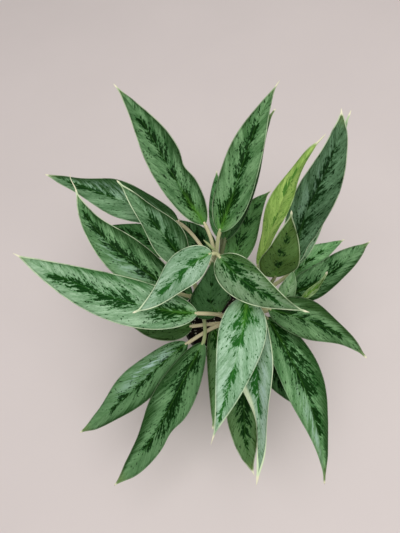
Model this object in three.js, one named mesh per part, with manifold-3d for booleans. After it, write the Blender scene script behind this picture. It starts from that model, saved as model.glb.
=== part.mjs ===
// Chinese evergreen in a round nursery pot: pot, soil, five leafy shoots and their blades.
// Millimetres, +Z up. The origin is the middle of the pot's underside.
// +Y points away from the side that the plant is mostly seen from, +X to the right.
import * as THREE from 'three';
import { mergeVertices } from 'three/addons/utils/BufferGeometryUtils.js';
import Module from 'manifold-3d';

// Air left between bodies that meet, how far a drill runs past a wall, and the distance under
// which two corners are one.
const GAP = 0.3;
const OVERRUN = 1;
const WELD = 1e-4;

const POT = {
  height: 112,
  rimRadius: 60,
  rimHeight: 13,
  rimWall: 2.6,
  shoulderRadius: 56.5,
  baseRadius: 42,
  wall: 1.8,
  floor: 2.4,
  chamfer: 1,
  foot: 1.6,
  footRadius: 32,
  holeRadius: 5,
  holeCircle: 24,
  holes: 4,
  sides: 48,
};

const SOIL = {
  edgeHeight: 98,
  crown: 3,
  plateauRadius: 36,
  plateauCrown: 2.4,
  sides: 48,
};

const CANE = {
  footHeight: 66,
  straightTop: 104,
  bendShare: 0.4,
  radius: 5.4,
  topRadius: 4.2,
  holeClearance: 0.4,
  sides: 12,
  steps: 6,
};

const PETIOLE = {
  sheathRadius: 4.4,
  neckRadius: 2.1,
  sheathShare: 0.6,
  lift: 0.42,
  reach: 0.28,
  lowestNode: 0.02,
  highestNode: 0.96,
  sides: 6,
  steps: 7,
};

const BLADE = {
  ribThickness: 2,
  edgeThickness: 0.9,
  stalkWidth: 3.4,
  tipWidth: 1.0,
  roundness: 0.6,
  taper: 1.3,
  fold: 14,
  cup: 0.12,
  waves: 1.7,
  farEdgeLag: 0.37,
  waveOnset: 0.7,
  notchSpread: 0.07,
  columns: [-1, -0.5, 0, 0.5, 1],
  rows: 12,
  crowding: 1.2,
  endShare: 1e-3,
};

const COLOURS = {
  pot: { color: 0x1d1e1f, roughness: 0.55, metalness: 0 },
  soil: { color: 0x241a13, roughness: 0.95, metalness: 0 },
  shoot: { color: 0xc9cfa0, roughness: 0.5, metalness: 0 },
  silver: { color: 0x86a58a, roughness: 0.42, metalness: 0 },
  green: { color: 0x4f7f5a, roughness: 0.42, metalness: 0 },
  dark: { color: 0x33563f, roughness: 0.45, metalness: 0 },
  young: { color: 0x86a546, roughness: 0.45, metalness: 0 },
};

// Each shoot's cane stands upright in the soil at its foot and leans out to its crown.
const SHOOTS = {
  a: { foot: [6, 26], crown: [11, 38, 226] },
  b: { foot: [36, 6], crown: [68, 4, 168] },
  c: { foot: [24, -24], crown: [43, -27, 186] },
  d: { foot: [-2, -22], crown: [5, -18, 150] },
  e: { foot: [-26, 14], crown: [-24, 26, 168] },
};

// Each leaf: blade's base and tip, width, and how its midrib leaves the straight line between
// them: arch lifts it, bow moves it to the right seen from the base, sway bends it into an S.
// from is the height on the cane where its stalk starts. Angles are in degrees. A notch is
// [side, place along the blade, share of the half-width], with side -1 left and 1 right.
const LEAVES = [
  { name: 'leaf_a1', from: 182, base: [10, 83, 245], tip: [-57, 266, 342], width: 51,
    arch: 11, sway: -10, roll: 6, taper: 1.2, wave: -4, phase: 0.4, look: 'green',
    notches: [[1, 0.36, 0.22]] },
  { name: 'leaf_a2', from: 188, base: [24, 64, 250], tip: [139, 183, 350], width: 52,
    arch: 10, bow: -2, sway: 9, roll: -3, taper: 1.3, wave: -3, phase: 0.75, look: 'green' },
  { name: 'leaf_a3', from: 160, base: [30, 68, 218], tip: [148, 216, 275], width: 47,
    arch: 12, bow: -5, sway: 6, roll: -8, wave: 2, phase: 0.55, taper: 1.2, look: 'dark' },
  { name: 'leaf_a4', from: 148, base: [27, 74, 210], tip: [47, 166, 242], width: 34,
    arch: 8, bow: 1, sway: 4, look: 'dark' },
  { name: 'leaf_a5', from: 214, base: [13, 17, 275], tip: [96, -66, 240], width: 45,
    arch: 11, bow: 15, sway: 2, roll: 20, taper: 1.7, wave: -3, phase: 0.65, look: 'silver' },
  { name: 'leaf_a6', from: 206, base: [6, 23, 275], tip: [-102, -15, 256], width: 49,
    arch: -4, bow: 2, sway: 14, roll: 5, taper: 1.45, wave: 2, phase: 0.35, look: 'silver' },
  { name: 'leaf_a7', from: 170, base: [-24, 118, 215], tip: [-194, 235, 252], width: 57,
    arch: 16, bow: -6.5, sway: -2, roll: 7, taper: 1.2, wave: 5, phase: 0.1, look: 'green' },
  { name: 'leaf_a8', from: 128, base: [29, 41, 186], tip: [119, 137, 202], width: 49,
    arch: 8, bow: -8, sway: 6, roll: -7, taper: 1.25, wave: 2, look: 'dark' },
  { name: 'leaf_b1', from: 140, base: [115, 16, 200], tip: [200, 139, 325], width: 57,
    arch: 20, sway: -24, roll: 32, taper: 0.95, wave: -2.5, phase: 0.5, look: 'dark',
    notches: [[1, 0.09, 0.2]] },
  { name: 'leaf_b2', from: 128, base: [118, 22, 182], tip: [225, 155, 300], width: 38,
    arch: 12, bow: -3, sway: -2, look: 'silver' },
  { name: 'leaf_b3', from: 150, base: [79, 2, 205], tip: [98, 22, 322], width: 49,
    arch: 5, bow: 2, sway: -5, roll: 27, taper: 1.35, wave: -2.5, phase: 0.8, look: 'dark' },
  { name: 'leaf_b4', from: 146, base: [62, 25, 203], tip: [157, 86, 350], width: 35,
    arch: 8, bow: -7.5, sway: 10, roll: -27, taper: 0.95, wave: -4, phase: 0.95, look: 'young' },
  { name: 'leaf_b5', from: 118, base: [109, 10, 156], tip: [191, 37, 186], width: 37,
    arch: 10, bow: -5, sway: -5, roll: -23, taper: 1, wave: -2, phase: 0.9, look: 'green' },
  { name: 'leaf_b6', from: 134, base: [91, -12, 168], tip: [210, 12, 214], width: 48,
    arch: 11, bow: 10, sway: 7, roll: -15, taper: 1.1, wave: 2.5, look: 'green' },
  { name: 'leaf_b7', from: 116, base: [83, -24, 176], tip: [107, 13, 196], width: 24,
    arch: 4, bow: 2, sway: -3, roll: -5, taper: 1.4, wave: -2, phase: 0.55, rows: 9,
    look: 'silver' },
  { name: 'leaf_c1', from: 168, base: [33, -26, 235], tip: [-54, -170, 188], width: 56,
    arch: 22, bow: -7, sway: -3, roll: -14, taper: 1.75, wave: -4.5, phase: 0.55,
    look: 'silver' },
  { name: 'leaf_c2', from: 160, base: [46, -36, 212], tip: [-16, -222, 148], width: 46,
    arch: 14, sway: 10, roll: 35, taper: 1.35, wave: 4.5, phase: 0.25, look: 'silver' },
  { name: 'leaf_c3', from: 148, base: [54, -41, 188], tip: [64, -241, 118], width: 60,
    arch: 19, bow: -13, sway: 2, roll: -24, taper: 1.35, wave: -2.5, phase: 0.05,
    look: 'green' },
  { name: 'leaf_c4', from: 154, base: [57, -37, 205], tip: [159, -120, 165], width: 54,
    arch: 7, bow: -9.5, sway: 4, roll: -9, taper: 1.4, wave: 3, phase: 0.7, look: 'green' },
  { name: 'leaf_c5', from: 122, base: [38, -42, 150], tip: [67, -150, 115], width: 49,
    arch: 12, bow: 4, taper: 1.1, look: 'dark' },
  { name: 'leaf_c6', from: 118, base: [15, -48, 142], tip: [-15, -213, 104], width: 54,
    arch: 14, bow: 4, sway: -13, taper: 1.05, look: 'green' },
  { name: 'leaf_c7', from: 160, base: [102, -32, 188], tip: [133, -23, 240], width: 10,
    arch: -4, bow: 2, sway: -2, wave: 1.5, phase: 0.7, rows: 8, look: 'young' },
  { name: 'leaf_d1', from: 140, base: [-30, -21, 215], tip: [-240, 108, 263], width: 60,
    arch: 15, bow: -18, sway: -7, roll: -4, taper: 1.25, look: 'silver' },
  { name: 'leaf_d2', from: 132, base: [-44, -13, 150], tip: [-164, 51, 130], width: 51,
    arch: 10, bow: -3, sway: -12, roll: -6, taper: 1.4, wave: -1, phase: 0.25, look: 'dark' },
  { name: 'leaf_d3', from: 136, base: [-56, -35, 152], tip: [-229, -107, 122], width: 54,
    arch: 14, bow: -6.5, sway: 7, roll: 12, taper: 1, wave: 4, look: 'green' },
  { name: 'leaf_d4', from: 108, base: [-16, -17, 134], tip: [-53, -147, 110], width: 35,
    arch: 12, bow: -9, sway: -7, roll: -2, look: 'green' },
  { name: 'leaf_d5', from: 136, base: [-2, -11, 165], tip: [5, 36, 240], width: 56,
    arch: 9, bow: -7, sway: -14, roll: 7, wave: -2, phase: 0.6, look: 'dark' },
  { name: 'leaf_e1', from: 152, base: [-29, 55, 205], tip: [-86, 159, 285], width: 52,
    arch: 12, roll: 17, taper: 1.5, wave: -3.5, phase: 0.85, look: 'green' },
  { name: 'leaf_e2', from: 144, base: [-53, 27, 188], tip: [-145, 179, 272], width: 58,
    arch: 11, bow: -20, sway: 11, roll: 9, taper: 1.3, wave: 3.5, phase: 0.05, look: 'green' },
  { name: 'leaf_e3', from: 124, base: [-40, 100, 172], tip: [-135, 165, 190], width: 50,
    arch: 10, bow: -4, sway: -1, look: 'dark' },
  { name: 'leaf_e4', from: 134, base: [9, 64, 188], tip: [-24, 140, 190], width: 40,
    arch: 8, rows: 9, look: 'dark' },
  { name: 'leaf_e5', from: 118, base: [-34, -46, 170], tip: [-190, -181, 125], width: 55,
    arch: 18, bow: -13, sway: 8, roll: 12, taper: 1, wave: -4, phase: 0.7, look: 'green',
    notches: [[-1, 0.52, 0.2]] },
  { name: 'leaf_e6', from: 112, base: [-34, 38, 136], tip: [-112, 84, 128], width: 44,
    arch: 8, taper: 1.3, look: 'dark' },
];

// The youngest leaf of the middle shoot is still rolled up into a spear.
const SPEAR = {
  from: 216,
  base: [11, 36, 257],
  tip: [1, 46, 271],
  radius: 1.8,
  bluntBase: 0.2,
  bluntTip: 0.95,
  sides: 7,
  steps: 8,
};

const wasm = await Module();
wasm.setup();

const radians = (degrees) => THREE.MathUtils.degToRad(degrees);
const vector = (triple) => new THREE.Vector3(...triple);

function closedGeometry(points, triangles) {
  const geometry = new THREE.BufferGeometry();
  geometry.setAttribute('position', new THREE.Float32BufferAttribute(points, 3));
  geometry.setIndex(triangles);
  return geometry;
}

// Skins a row of rings, listed anticlockwise seen from the last one, and closes both ends.
// mirrored(j) says that the quads after point j are split along their other diagonal.
function loft(rings, mirrored = () => false) {
  const count = rings[0].length;
  const points = rings.flat().flatMap((point) => point.toArray());
  const triangles = [];
  for (let i = 0; i < rings.length - 1; i += 1) {
    for (let j = 0; j < count; j += 1) {
      const near = i * count;
      const far = near + count;
      const next = (j + 1) % count;
      if (mirrored(j)) {
        triangles.push(near + j, near + next, far + j, near + next, far + next, far + j);
      } else {
        triangles.push(near + j, near + next, far + next, near + j, far + next, far + j);
      }
    }
  }
  const last = (rings.length - 1) * count;
  for (let low = 0, high = count - 1; high - low >= 2; low += 1, high -= 1) {
    triangles.push(low, high, low + 1);
    triangles.push(last + low, last + low + 1, last + high);
    if (high - low >= 3) {
      triangles.push(low + 1, high, high - 1);
      triangles.push(last + low + 1, last + high - 1, last + high);
    }
  }
  return closedGeometry(points, triangles);
}

// A round tube along a curve. radiusAt gives its radius from the share of the way along.
function taperedTube(curve, radiusAt, sides, steps) {
  const frames = curve.computeFrenetFrames(steps);
  const rings = [];
  for (let i = 0; i <= steps; i += 1) {
    const centre = curve.getPointAt(i / steps);
    const radius = radiusAt(i / steps);
    const ring = [];
    for (let j = 0; j < sides; j += 1) {
      const angle = (2 * Math.PI * j) / sides;
      ring.push(centre.clone()
        .addScaledVector(frames.normals[i], radius * Math.cos(angle))
        .addScaledVector(frames.binormals[i], radius * Math.sin(angle)));
    }
    rings.push(ring);
  }
  return loft(rings);
}

function toSolid(geometry) {
  const bare = geometry.clone();
  bare.deleteAttribute('normal');
  bare.deleteAttribute('uv');
  const merged = mergeVertices(bare, WELD);
  return new wasm.Manifold(new wasm.Mesh({
    numProp: 3,
    vertProperties: new Float32Array(merged.attributes.position.array),
    triVerts: new Uint32Array(merged.index.array),
  }));
}

function toGeometry(solid) {
  const mesh = solid.getMesh();
  return closedGeometry(Array.from(mesh.vertProperties), Array.from(mesh.triVerts));
}

function namedMesh(name, geometry, look) {
  geometry.computeVertexNormals();
  const mesh = new THREE.Mesh(geometry, new THREE.MeshStandardMaterial(COLOURS[look]));
  mesh.name = name;
  return mesh;
}

// A lathe of a profile of [radius, height] pairs that starts and ends on the axis.
function turned(profile, sides) {
  const outline = profile.map(([radius, height]) => new THREE.Vector2(radius, height));
  return new THREE.LatheGeometry(outline, sides).rotateX(Math.PI / 2);
}

function upright(radius, bottom, top, x, y, sides) {
  const post = new THREE.CylinderGeometry(radius, radius, top - bottom, sides);
  return post.rotateX(Math.PI / 2).translate(x, y, (top + bottom) / 2);
}

const innerRadius = (height) => THREE.MathUtils.mapLinear(
  height, 0, POT.height - POT.rimHeight, POT.baseRadius, POT.shoulderRadius) - POT.wall;

function potGeometry() {
  const shoulder = POT.height - POT.rimHeight;
  const floor = POT.foot + POT.floor;
  const profile = [
    [0, 0],
    [POT.footRadius, 0],
    [POT.footRadius + POT.foot, POT.foot],
    [POT.baseRadius - POT.wall, POT.foot],
    [POT.baseRadius - POT.wall, 0],
    [POT.baseRadius, 0],
    [POT.shoulderRadius, shoulder],
    [POT.rimRadius - POT.chamfer, shoulder],
    [POT.rimRadius, POT.height - POT.chamfer],
    [POT.rimRadius - POT.chamfer, POT.height],
    [POT.rimRadius - POT.rimWall, POT.height],
    [innerRadius(shoulder), shoulder - POT.wall],
    [innerRadius(floor), floor],
    [0, floor],
  ];
  let pot = toSolid(turned(profile, POT.sides));
  for (let i = 0; i < POT.holes; i += 1) {
    const angle = (2 * Math.PI * (i + 0.5)) / POT.holes;
    const x = POT.holeCircle * Math.cos(angle);
    const y = POT.holeCircle * Math.sin(angle);
    const drill = upright(POT.holeRadius, -OVERRUN, floor + OVERRUN, x, y, CANE.sides);
    pot = pot.subtract(toSolid(drill));
  }
  return toGeometry(pot);
}

function soilGeometry() {
  const floor = POT.foot + POT.floor + GAP;
  const profile = [
    [0, floor],
    [innerRadius(floor) - GAP, floor],
    [innerRadius(SOIL.edgeHeight) - GAP, SOIL.edgeHeight],
    [SOIL.plateauRadius, SOIL.edgeHeight + SOIL.plateauCrown],
    [0, SOIL.edgeHeight + SOIL.crown],
  ];
  let soil = toSolid(turned(profile, SOIL.sides));
  for (const { foot: [x, y] } of Object.values(SHOOTS)) {
    const radius = CANE.radius + CANE.holeClearance;
    const top = SOIL.edgeHeight + SOIL.crown + OVERRUN;
    const hole = upright(radius, CANE.footHeight - GAP, top, x, y, CANE.sides);
    soil = soil.subtract(toSolid(hole));
  }
  return toGeometry(soil);
}

function caneCurve(shoot) {
  const [x, y] = shoot.foot;
  const crown = vector(shoot.crown);
  const start = new THREE.Vector3(x, y, CANE.straightTop);
  const bend = start.clone().setZ(THREE.MathUtils.lerp(start.z, crown.z, CANE.bendShare));
  return new THREE.QuadraticBezierCurve3(start, bend, crown);
}

// The Bezier through the base and tip whose middle lies arch above and bow beside the chord.
function midribCurve(leaf) {
  const base = vector(leaf.base);
  const tip = vector(leaf.tip);
  const chord = tip.clone().sub(base);
  const along = chord.clone().normalize();
  const up = new THREE.Vector3(0, 0, 1).projectOnPlane(along).normalize();
  const right = along.clone().cross(up);
  const swell = up.clone().multiplyScalar((4 / 3) * (leaf.arch ?? 0))
    .addScaledVector(right, (4 / 3) * (leaf.bow ?? 0));
  const sway = leaf.sway ?? 0;
  const nearer = base.clone().addScaledVector(chord, 1 / 3).add(swell)
    .addScaledVector(right, sway);
  const farther = base.clone().addScaledVector(chord, 2 / 3).add(swell)
    .addScaledVector(right, -sway);
  const facing = up.applyAxisAngle(along, radians(leaf.roll ?? 0));
  return { curve: new THREE.CubicBezierCurve3(base, nearer, farther, tip), facing };
}

// Half-width along the blade as a share of its widest: round at the base, drawn out at the tip.
function outline(t, taper) {
  const widest = BLADE.roundness / (BLADE.roundness + taper);
  const shape = (s) => s ** BLADE.roundness * (1 - s) ** taper;
  return shape(t) / shape(widest);
}

function bladeRing(leaf, curve, facing, t) {
  const centre = curve.getPoint(t);
  const along = curve.getTangent(t);
  const up = facing.clone().projectOnPlane(along).normalize();
  const right = along.clone().cross(up);
  const fold = radians(BLADE.fold);
  const ends = THREE.MathUtils.lerp(BLADE.stalkWidth, BLADE.tipWidth, t) / 2;
  const half = Math.max((leaf.width / 2) * outline(t, leaf.taper ?? BLADE.taper), ends);
  const settle = Math.sin(Math.PI * t) ** BLADE.waveOnset;
  const upper = [];
  const lower = [];
  for (const v of BLADE.columns) {
    const lag = v > 0 ? BLADE.farEdgeLag : 0;
    const turn = 2 * Math.PI * (BLADE.waves * t + (leaf.phase ?? 0) + lag);
    const notches = (leaf.notches ?? []).filter(([side]) => side * v > 0);
    const reach = notches.reduce((share, [, place, depth]) =>
      share - half * depth * Math.exp(-(((t - place) / BLADE.notchSpread) ** 2)), half);
    const ripple = (leaf.wave ?? 0) * Math.sin(turn) * v * v * settle;
    const height = reach * (Math.sin(fold) * Math.abs(v) - BLADE.cup * v * v) + ripple;
    const point = centre.clone()
      .addScaledVector(right, v * reach * Math.cos(fold))
      .addScaledVector(up, height);
    const depth = THREE.MathUtils.lerp(BLADE.ribThickness, BLADE.edgeThickness, Math.abs(v));
    upper.push(point);
    lower.unshift(point.clone().addScaledVector(up, -depth));
  }
  return [...upper, ...lower];
}

function bladeGeometry(leaf) {
  const { curve, facing } = midribCurve(leaf);
  const rows = leaf.rows ?? BLADE.rows;
  const rings = [];
  for (let i = 0; i <= rows; i += 1) {
    const t = THREE.MathUtils.clamp((i / rows) ** BLADE.crowding, BLADE.endShare, 1 - BLADE.endShare);
    rings.push(bladeRing(leaf, curve, facing, t));
  }
  const underside = BLADE.columns.length;
  return loft(rings, (j) => j >= underside);
}

function petioleGeometry(leaf, cane) {
  const { curve: midrib } = midribCurve(leaf);
  const height = (leaf.from - cane.v0.z) / (cane.v2.z - cane.v0.z);
  const share = THREE.MathUtils.clamp(height, PETIOLE.lowestNode, PETIOLE.highestNode);
  const start = cane.getPoint(share);
  const end = midrib.getPoint(0).addScaledVector(midrib.getTangent(0), -GAP);
  const span = start.distanceTo(end);
  const rising = start.clone().addScaledVector(cane.getTangent(share), PETIOLE.lift * span);
  const arriving = end.clone().addScaledVector(midrib.getTangent(0), -PETIOLE.reach * span);
  const path = new THREE.CubicBezierCurve3(start, rising, arriving, end);
  const radiusAt = (s) => {
    const slim = THREE.MathUtils.smoothstep(s, 0, PETIOLE.sheathShare);
    return THREE.MathUtils.lerp(PETIOLE.sheathRadius, PETIOLE.neckRadius, slim);
  };
  return taperedTube(path, radiusAt, PETIOLE.sides, PETIOLE.steps);
}

function shootGeometry(shoot, leaves) {
  const [x, y] = shoot.foot;
  const cane = caneCurve(shoot);
  const radiusAt = (s) => THREE.MathUtils.lerp(CANE.radius, CANE.topRadius, s);
  const joinedAt = CANE.straightTop + OVERRUN;
  const foot = upright(CANE.radius, CANE.footHeight, joinedAt, x, y, CANE.sides);
  let solid = toSolid(foot).add(toSolid(taperedTube(cane, radiusAt, CANE.sides, CANE.steps)));
  for (const leaf of leaves) {
    solid = solid.add(toSolid(petioleGeometry(leaf, cane)));
  }
  return toGeometry(solid);
}

function spearGeometry() {
  const { curve } = midribCurve(SPEAR);
  const radiusAt = (s) =>
    SPEAR.radius * Math.sin(Math.PI * THREE.MathUtils.lerp(SPEAR.bluntBase, SPEAR.bluntTip, s));
  return taperedTube(curve, radiusAt, SPEAR.sides, SPEAR.steps);
}

const plant = new THREE.Group();
plant.name = 'potted_chinese_evergreen';
plant.add(namedMesh('pot', potGeometry(), 'pot'));
plant.add(namedMesh('soil', soilGeometry(), 'soil'));
for (const [letter, shoot] of Object.entries(SHOOTS)) {
  const leaves = LEAVES.filter((leaf) => leaf.name.startsWith(`leaf_${letter}`));
  const stalks = letter === 'a' ? [...leaves, SPEAR] : leaves;
  plant.add(namedMesh(`shoot_${letter}`, shootGeometry(shoot, stalks), 'shoot'));
}
for (const leaf of LEAVES) {
  plant.add(namedMesh(leaf.name, bladeGeometry(leaf), leaf.look));
}
plant.add(namedMesh('leaf_a_spear', spearGeometry(), 'young'));

export default plant;
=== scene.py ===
"""A chinese evergreen in a nursery pot: blades, stalks, canes, potting soil and pot.

Sizes are millimetres in the dataclasses and metres in Blender. +Z is up, and the origin is the middle of the
pot's underside. +Y points away from the camera.
"""

from __future__ import annotations

import logging
import math
import random
import sys
from dataclasses import dataclass, field
from enum import Enum
from typing import Callable, Iterable, Sequence

import bmesh
import bpy
from mathutils import Matrix, Vector, noise

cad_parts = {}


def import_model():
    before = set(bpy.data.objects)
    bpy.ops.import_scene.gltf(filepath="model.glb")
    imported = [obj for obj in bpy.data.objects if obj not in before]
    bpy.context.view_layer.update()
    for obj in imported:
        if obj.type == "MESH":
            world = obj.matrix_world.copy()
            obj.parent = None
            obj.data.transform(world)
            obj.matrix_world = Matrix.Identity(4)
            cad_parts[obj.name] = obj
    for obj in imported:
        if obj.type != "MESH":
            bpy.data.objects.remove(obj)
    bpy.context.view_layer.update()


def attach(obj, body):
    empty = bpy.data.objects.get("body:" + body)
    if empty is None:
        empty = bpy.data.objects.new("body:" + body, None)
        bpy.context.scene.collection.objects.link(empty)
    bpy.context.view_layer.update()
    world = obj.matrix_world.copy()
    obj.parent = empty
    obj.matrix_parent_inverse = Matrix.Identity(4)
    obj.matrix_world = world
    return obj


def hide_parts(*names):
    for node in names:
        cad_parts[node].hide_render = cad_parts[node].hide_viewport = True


LOG = logging.getLogger("chinese_evergreen")
MM = 0.001
BODY = "root"
WELD = 1e-6
VEIN_SLANT = 1.8
MARKS = 8
NOTCHES = 2

Triple = tuple[float, float, float]
Pair = tuple[float, float]


def metres(point: Sequence[float]) -> Vector:
    """A point in metres from one in millimetres."""
    return Vector(point) * MM


def paint(code: str) -> tuple[float, float, float, float]:
    """A linear colour from an sRGB one.

    Args:
        code: Six digits, such as "86a58a".

    Returns:
        Red, green, blue and an alpha of 1.
    """
    shares = [int(code[i : i + 2], 16) / 255 for i in (0, 2, 4)]
    linear = [s / 12.92 if s <= 0.04045 else ((s + 0.055) / 1.055) ** 2.4 for s in shares]
    return (*linear, 1.0)


# ---------------------------------------------------------------- node arithmetic


@dataclass(frozen=True)
class Field:
    """A node's output, which adds, multiplies and compares as a number, a vector or a colour does."""

    weaver: Weaver
    socket: bpy.types.NodeSocket

    @property
    def is_vector(self) -> bool:
        """Whether this is a vector."""
        return self.socket.type == "VECTOR"

    def _join(self, operation: str, left: object, right: object) -> Field:
        """One arithmetic node on two operands, as vectors if either is one."""
        if any(isinstance(side, Field) and side.is_vector for side in (left, right)):
            return self.weaver.vector(operation, left, right)
        return self.weaver.math(operation, left, right)

    def __add__(self, other: object) -> Field:
        """The sum."""
        return self._join("ADD", self, other)

    def __radd__(self, other: object) -> Field:
        """The sum, from the right."""
        return self._join("ADD", other, self)

    def __sub__(self, other: object) -> Field:
        """The difference."""
        return self._join("SUBTRACT", self, other)

    def __rsub__(self, other: object) -> Field:
        """The difference, from the right."""
        return self._join("SUBTRACT", other, self)

    def __mul__(self, other: object) -> Field:
        """The product, or the vector scaled by a number.

        Args:
            other: A number, or a field of numbers.

        Returns:
            The product.
        """
        if not self.is_vector:
            return self.weaver.math("MULTIPLY", self, other)
        scaled = self.weaver.node("ShaderNodeVectorMath", operation="SCALE")
        self.weaver.feed(scaled.inputs["Vector"], self)
        self.weaver.feed(scaled.inputs["Scale"], other)
        return Field(self.weaver, scaled.outputs["Vector"])

    def __rmul__(self, other: object) -> Field:
        """The product, from the right."""
        return self.__mul__(other)

    def __truediv__(self, other: object) -> Field:
        """The quotient of two numbers."""
        return self.weaver.math("DIVIDE", self, other)

    def __pow__(self, other: object) -> Field:
        """The power."""
        return self.weaver.math("POWER", self, other)

    def __abs__(self) -> Field:
        """The size without its sign."""
        return self.weaver.math("ABSOLUTE", self)

    def above(self, limit: object) -> Field:
        """1 where this is above the limit, and 0 elsewhere."""
        return self.weaver.math("GREATER_THAN", self, limit)

    def normalized(self) -> Field:
        """The unit vector along this one."""
        return self.weaver.vector("NORMALIZE", self)

    def dot(self, other: Field) -> Field:
        """The dot product."""
        return self.weaver.vector("DOT_PRODUCT", self, other)

    def cross(self, other: Field) -> Field:
        """The cross product."""
        return self.weaver.vector("CROSS_PRODUCT", self, other)


class Weaver:
    """Adds nodes to a tree and links them."""

    def __init__(self, tree: bpy.types.NodeTree) -> None:
        """Takes the tree.

        Args:
            tree: The node tree to add to.
        """
        self.tree = tree

    def node(self, kind: str, **settings: object) -> bpy.types.Node:
        """A new node.

        Args:
            kind: The node's type name.
            **settings: Its properties.

        Returns:
            The node.
        """
        made = self.tree.nodes.new(kind)
        for name, value in settings.items():
            setattr(made, name, value)
        return made

    def feed(self, socket: bpy.types.NodeSocket, value: object) -> None:
        """Links a field to a socket, or sets the socket's own value.

        Args:
            socket: The input.
            value: A field, a number, a vector or a colour.
        """
        if isinstance(value, Field):
            self.tree.links.new(value.socket, socket)
        elif socket.type == "VECTOR" and isinstance(value, (int, float)):
            socket.default_value = (value, value, value)
        else:
            socket.default_value = value

    def math(self, operation: str, *operands: object) -> Field:
        """A number reckoned from others.

        Args:
            operation: The node's operation.
            *operands: Its numbers or fields.

        Returns:
            The result.
        """
        made = self.node("ShaderNodeMath", operation=operation)
        for socket, value in zip(made.inputs, operands):
            self.feed(socket, value)
        return Field(self, made.outputs[0])

    def vector(self, operation: str, *operands: object) -> Field:
        """A vector, or a dot product, reckoned from vectors.

        Args:
            operation: The node's operation.
            *operands: Its vectors or fields.

        Returns:
            The result.
        """
        made = self.node("ShaderNodeVectorMath", operation=operation)
        for socket, value in zip(made.inputs, operands):
            self.feed(socket, value)
        return Field(self, made.outputs["Value" if operation == "DOT_PRODUCT" else "Vector"])

    def sine(self, turns: Field) -> Field:
        """The sine of an angle in whole turns."""
        return self.math("SINE", turns * math.tau)

    def bell(self, distance: Field, spread: object) -> Field:
        """1 at no distance, falling off as a bell curve does.

        Args:
            distance: How far off.
            spread: The distance at which it has fallen to 1/e.

        Returns:
            The share from 1 to 0.
        """
        share = distance / spread
        return self.math("EXPONENT", (share * share) * -1)

    def step(self, value: Field, low: object, high: object) -> Field:
        """A smooth rise from 0 to 1.

        Args:
            value: What it follows.
            low: Where it is still 0.
            high: Where it is 1.

        Returns:
            The share from 0 to 1.
        """
        made = self.node("ShaderNodeMapRange", interpolation_type="SMOOTHSTEP")
        self.feed(made.inputs["Value"], value)
        self.feed(made.inputs["From Min"], low)
        self.feed(made.inputs["From Max"], high)
        return Field(self, made.outputs["Result"])

    def blend(self, share: object, first: object, second: object) -> Field:
        """A number between two.

        Args:
            share: 0 for the first and 1 for the second.
            first: The first number.
            second: The second number.

        Returns:
            The number between.
        """
        made = self.node("ShaderNodeMix", data_type="FLOAT")
        for socket, value in zip((s for s in made.inputs if s.enabled), (share, first, second)):
            self.feed(socket, value)
        return Field(self, next(s for s in made.outputs if s.enabled))

    def clamp(self, value: Field, low: float, high: float) -> Field:
        """The value, kept between low and high."""
        return self.math("MINIMUM", self.math("MAXIMUM", value, low), high)

    def split(self, vector: Field) -> tuple[Field, ...]:
        """The three parts of a vector.

        Args:
            vector: The vector.

        Returns:
            Its x, y and z.
        """
        made = self.node("ShaderNodeSeparateXYZ")
        self.feed(made.inputs[0], vector)
        return tuple(Field(self, socket) for socket in made.outputs)

    def gather(self, x: object, y: object, z: object) -> Field:
        """A vector of three numbers.

        Args:
            x: The first.
            y: The second.
            z: The third.

        Returns:
            The vector.
        """
        made = self.node("ShaderNodeCombineXYZ")
        for socket, value in zip(made.inputs, (x, y, z)):
            self.feed(socket, value)
        return Field(self, made.outputs[0])

    def noise(self, place: Field, scale: float = 1.0, detail: float = 2.0, rough: float = 0.5) -> Field:
        """Smooth noise round one half.

        Args:
            place: Where it is read.
            scale: How many features there are in a unit.
            detail: How many finer layers it has.
            rough: How strong the finer layers are.

        Returns:
            The noise, from 0 to 1.
        """
        made = self.node("ShaderNodeTexNoise", noise_dimensions="3D")
        self.feed(made.inputs["Vector"], place)
        self.feed(made.inputs["Scale"], scale)
        self.feed(made.inputs["Detail"], detail)
        self.feed(made.inputs["Roughness"], rough)
        return Field(self, made.outputs[0])

    def cells(self, place: Field, scale: float) -> Field:
        """How far it is to the nearest of many scattered points.

        Args:
            place: Where it is read.
            scale: How many points there are in a unit.

        Returns:
            The distance.
        """
        made = self.node("ShaderNodeTexVoronoi", voronoi_dimensions="3D")
        self.feed(made.inputs["Vector"], place)
        self.feed(made.inputs["Scale"], scale)
        return Field(self, made.outputs["Distance"])


# ---------------------------------------------------------------- shapes that follow a rule


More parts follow.
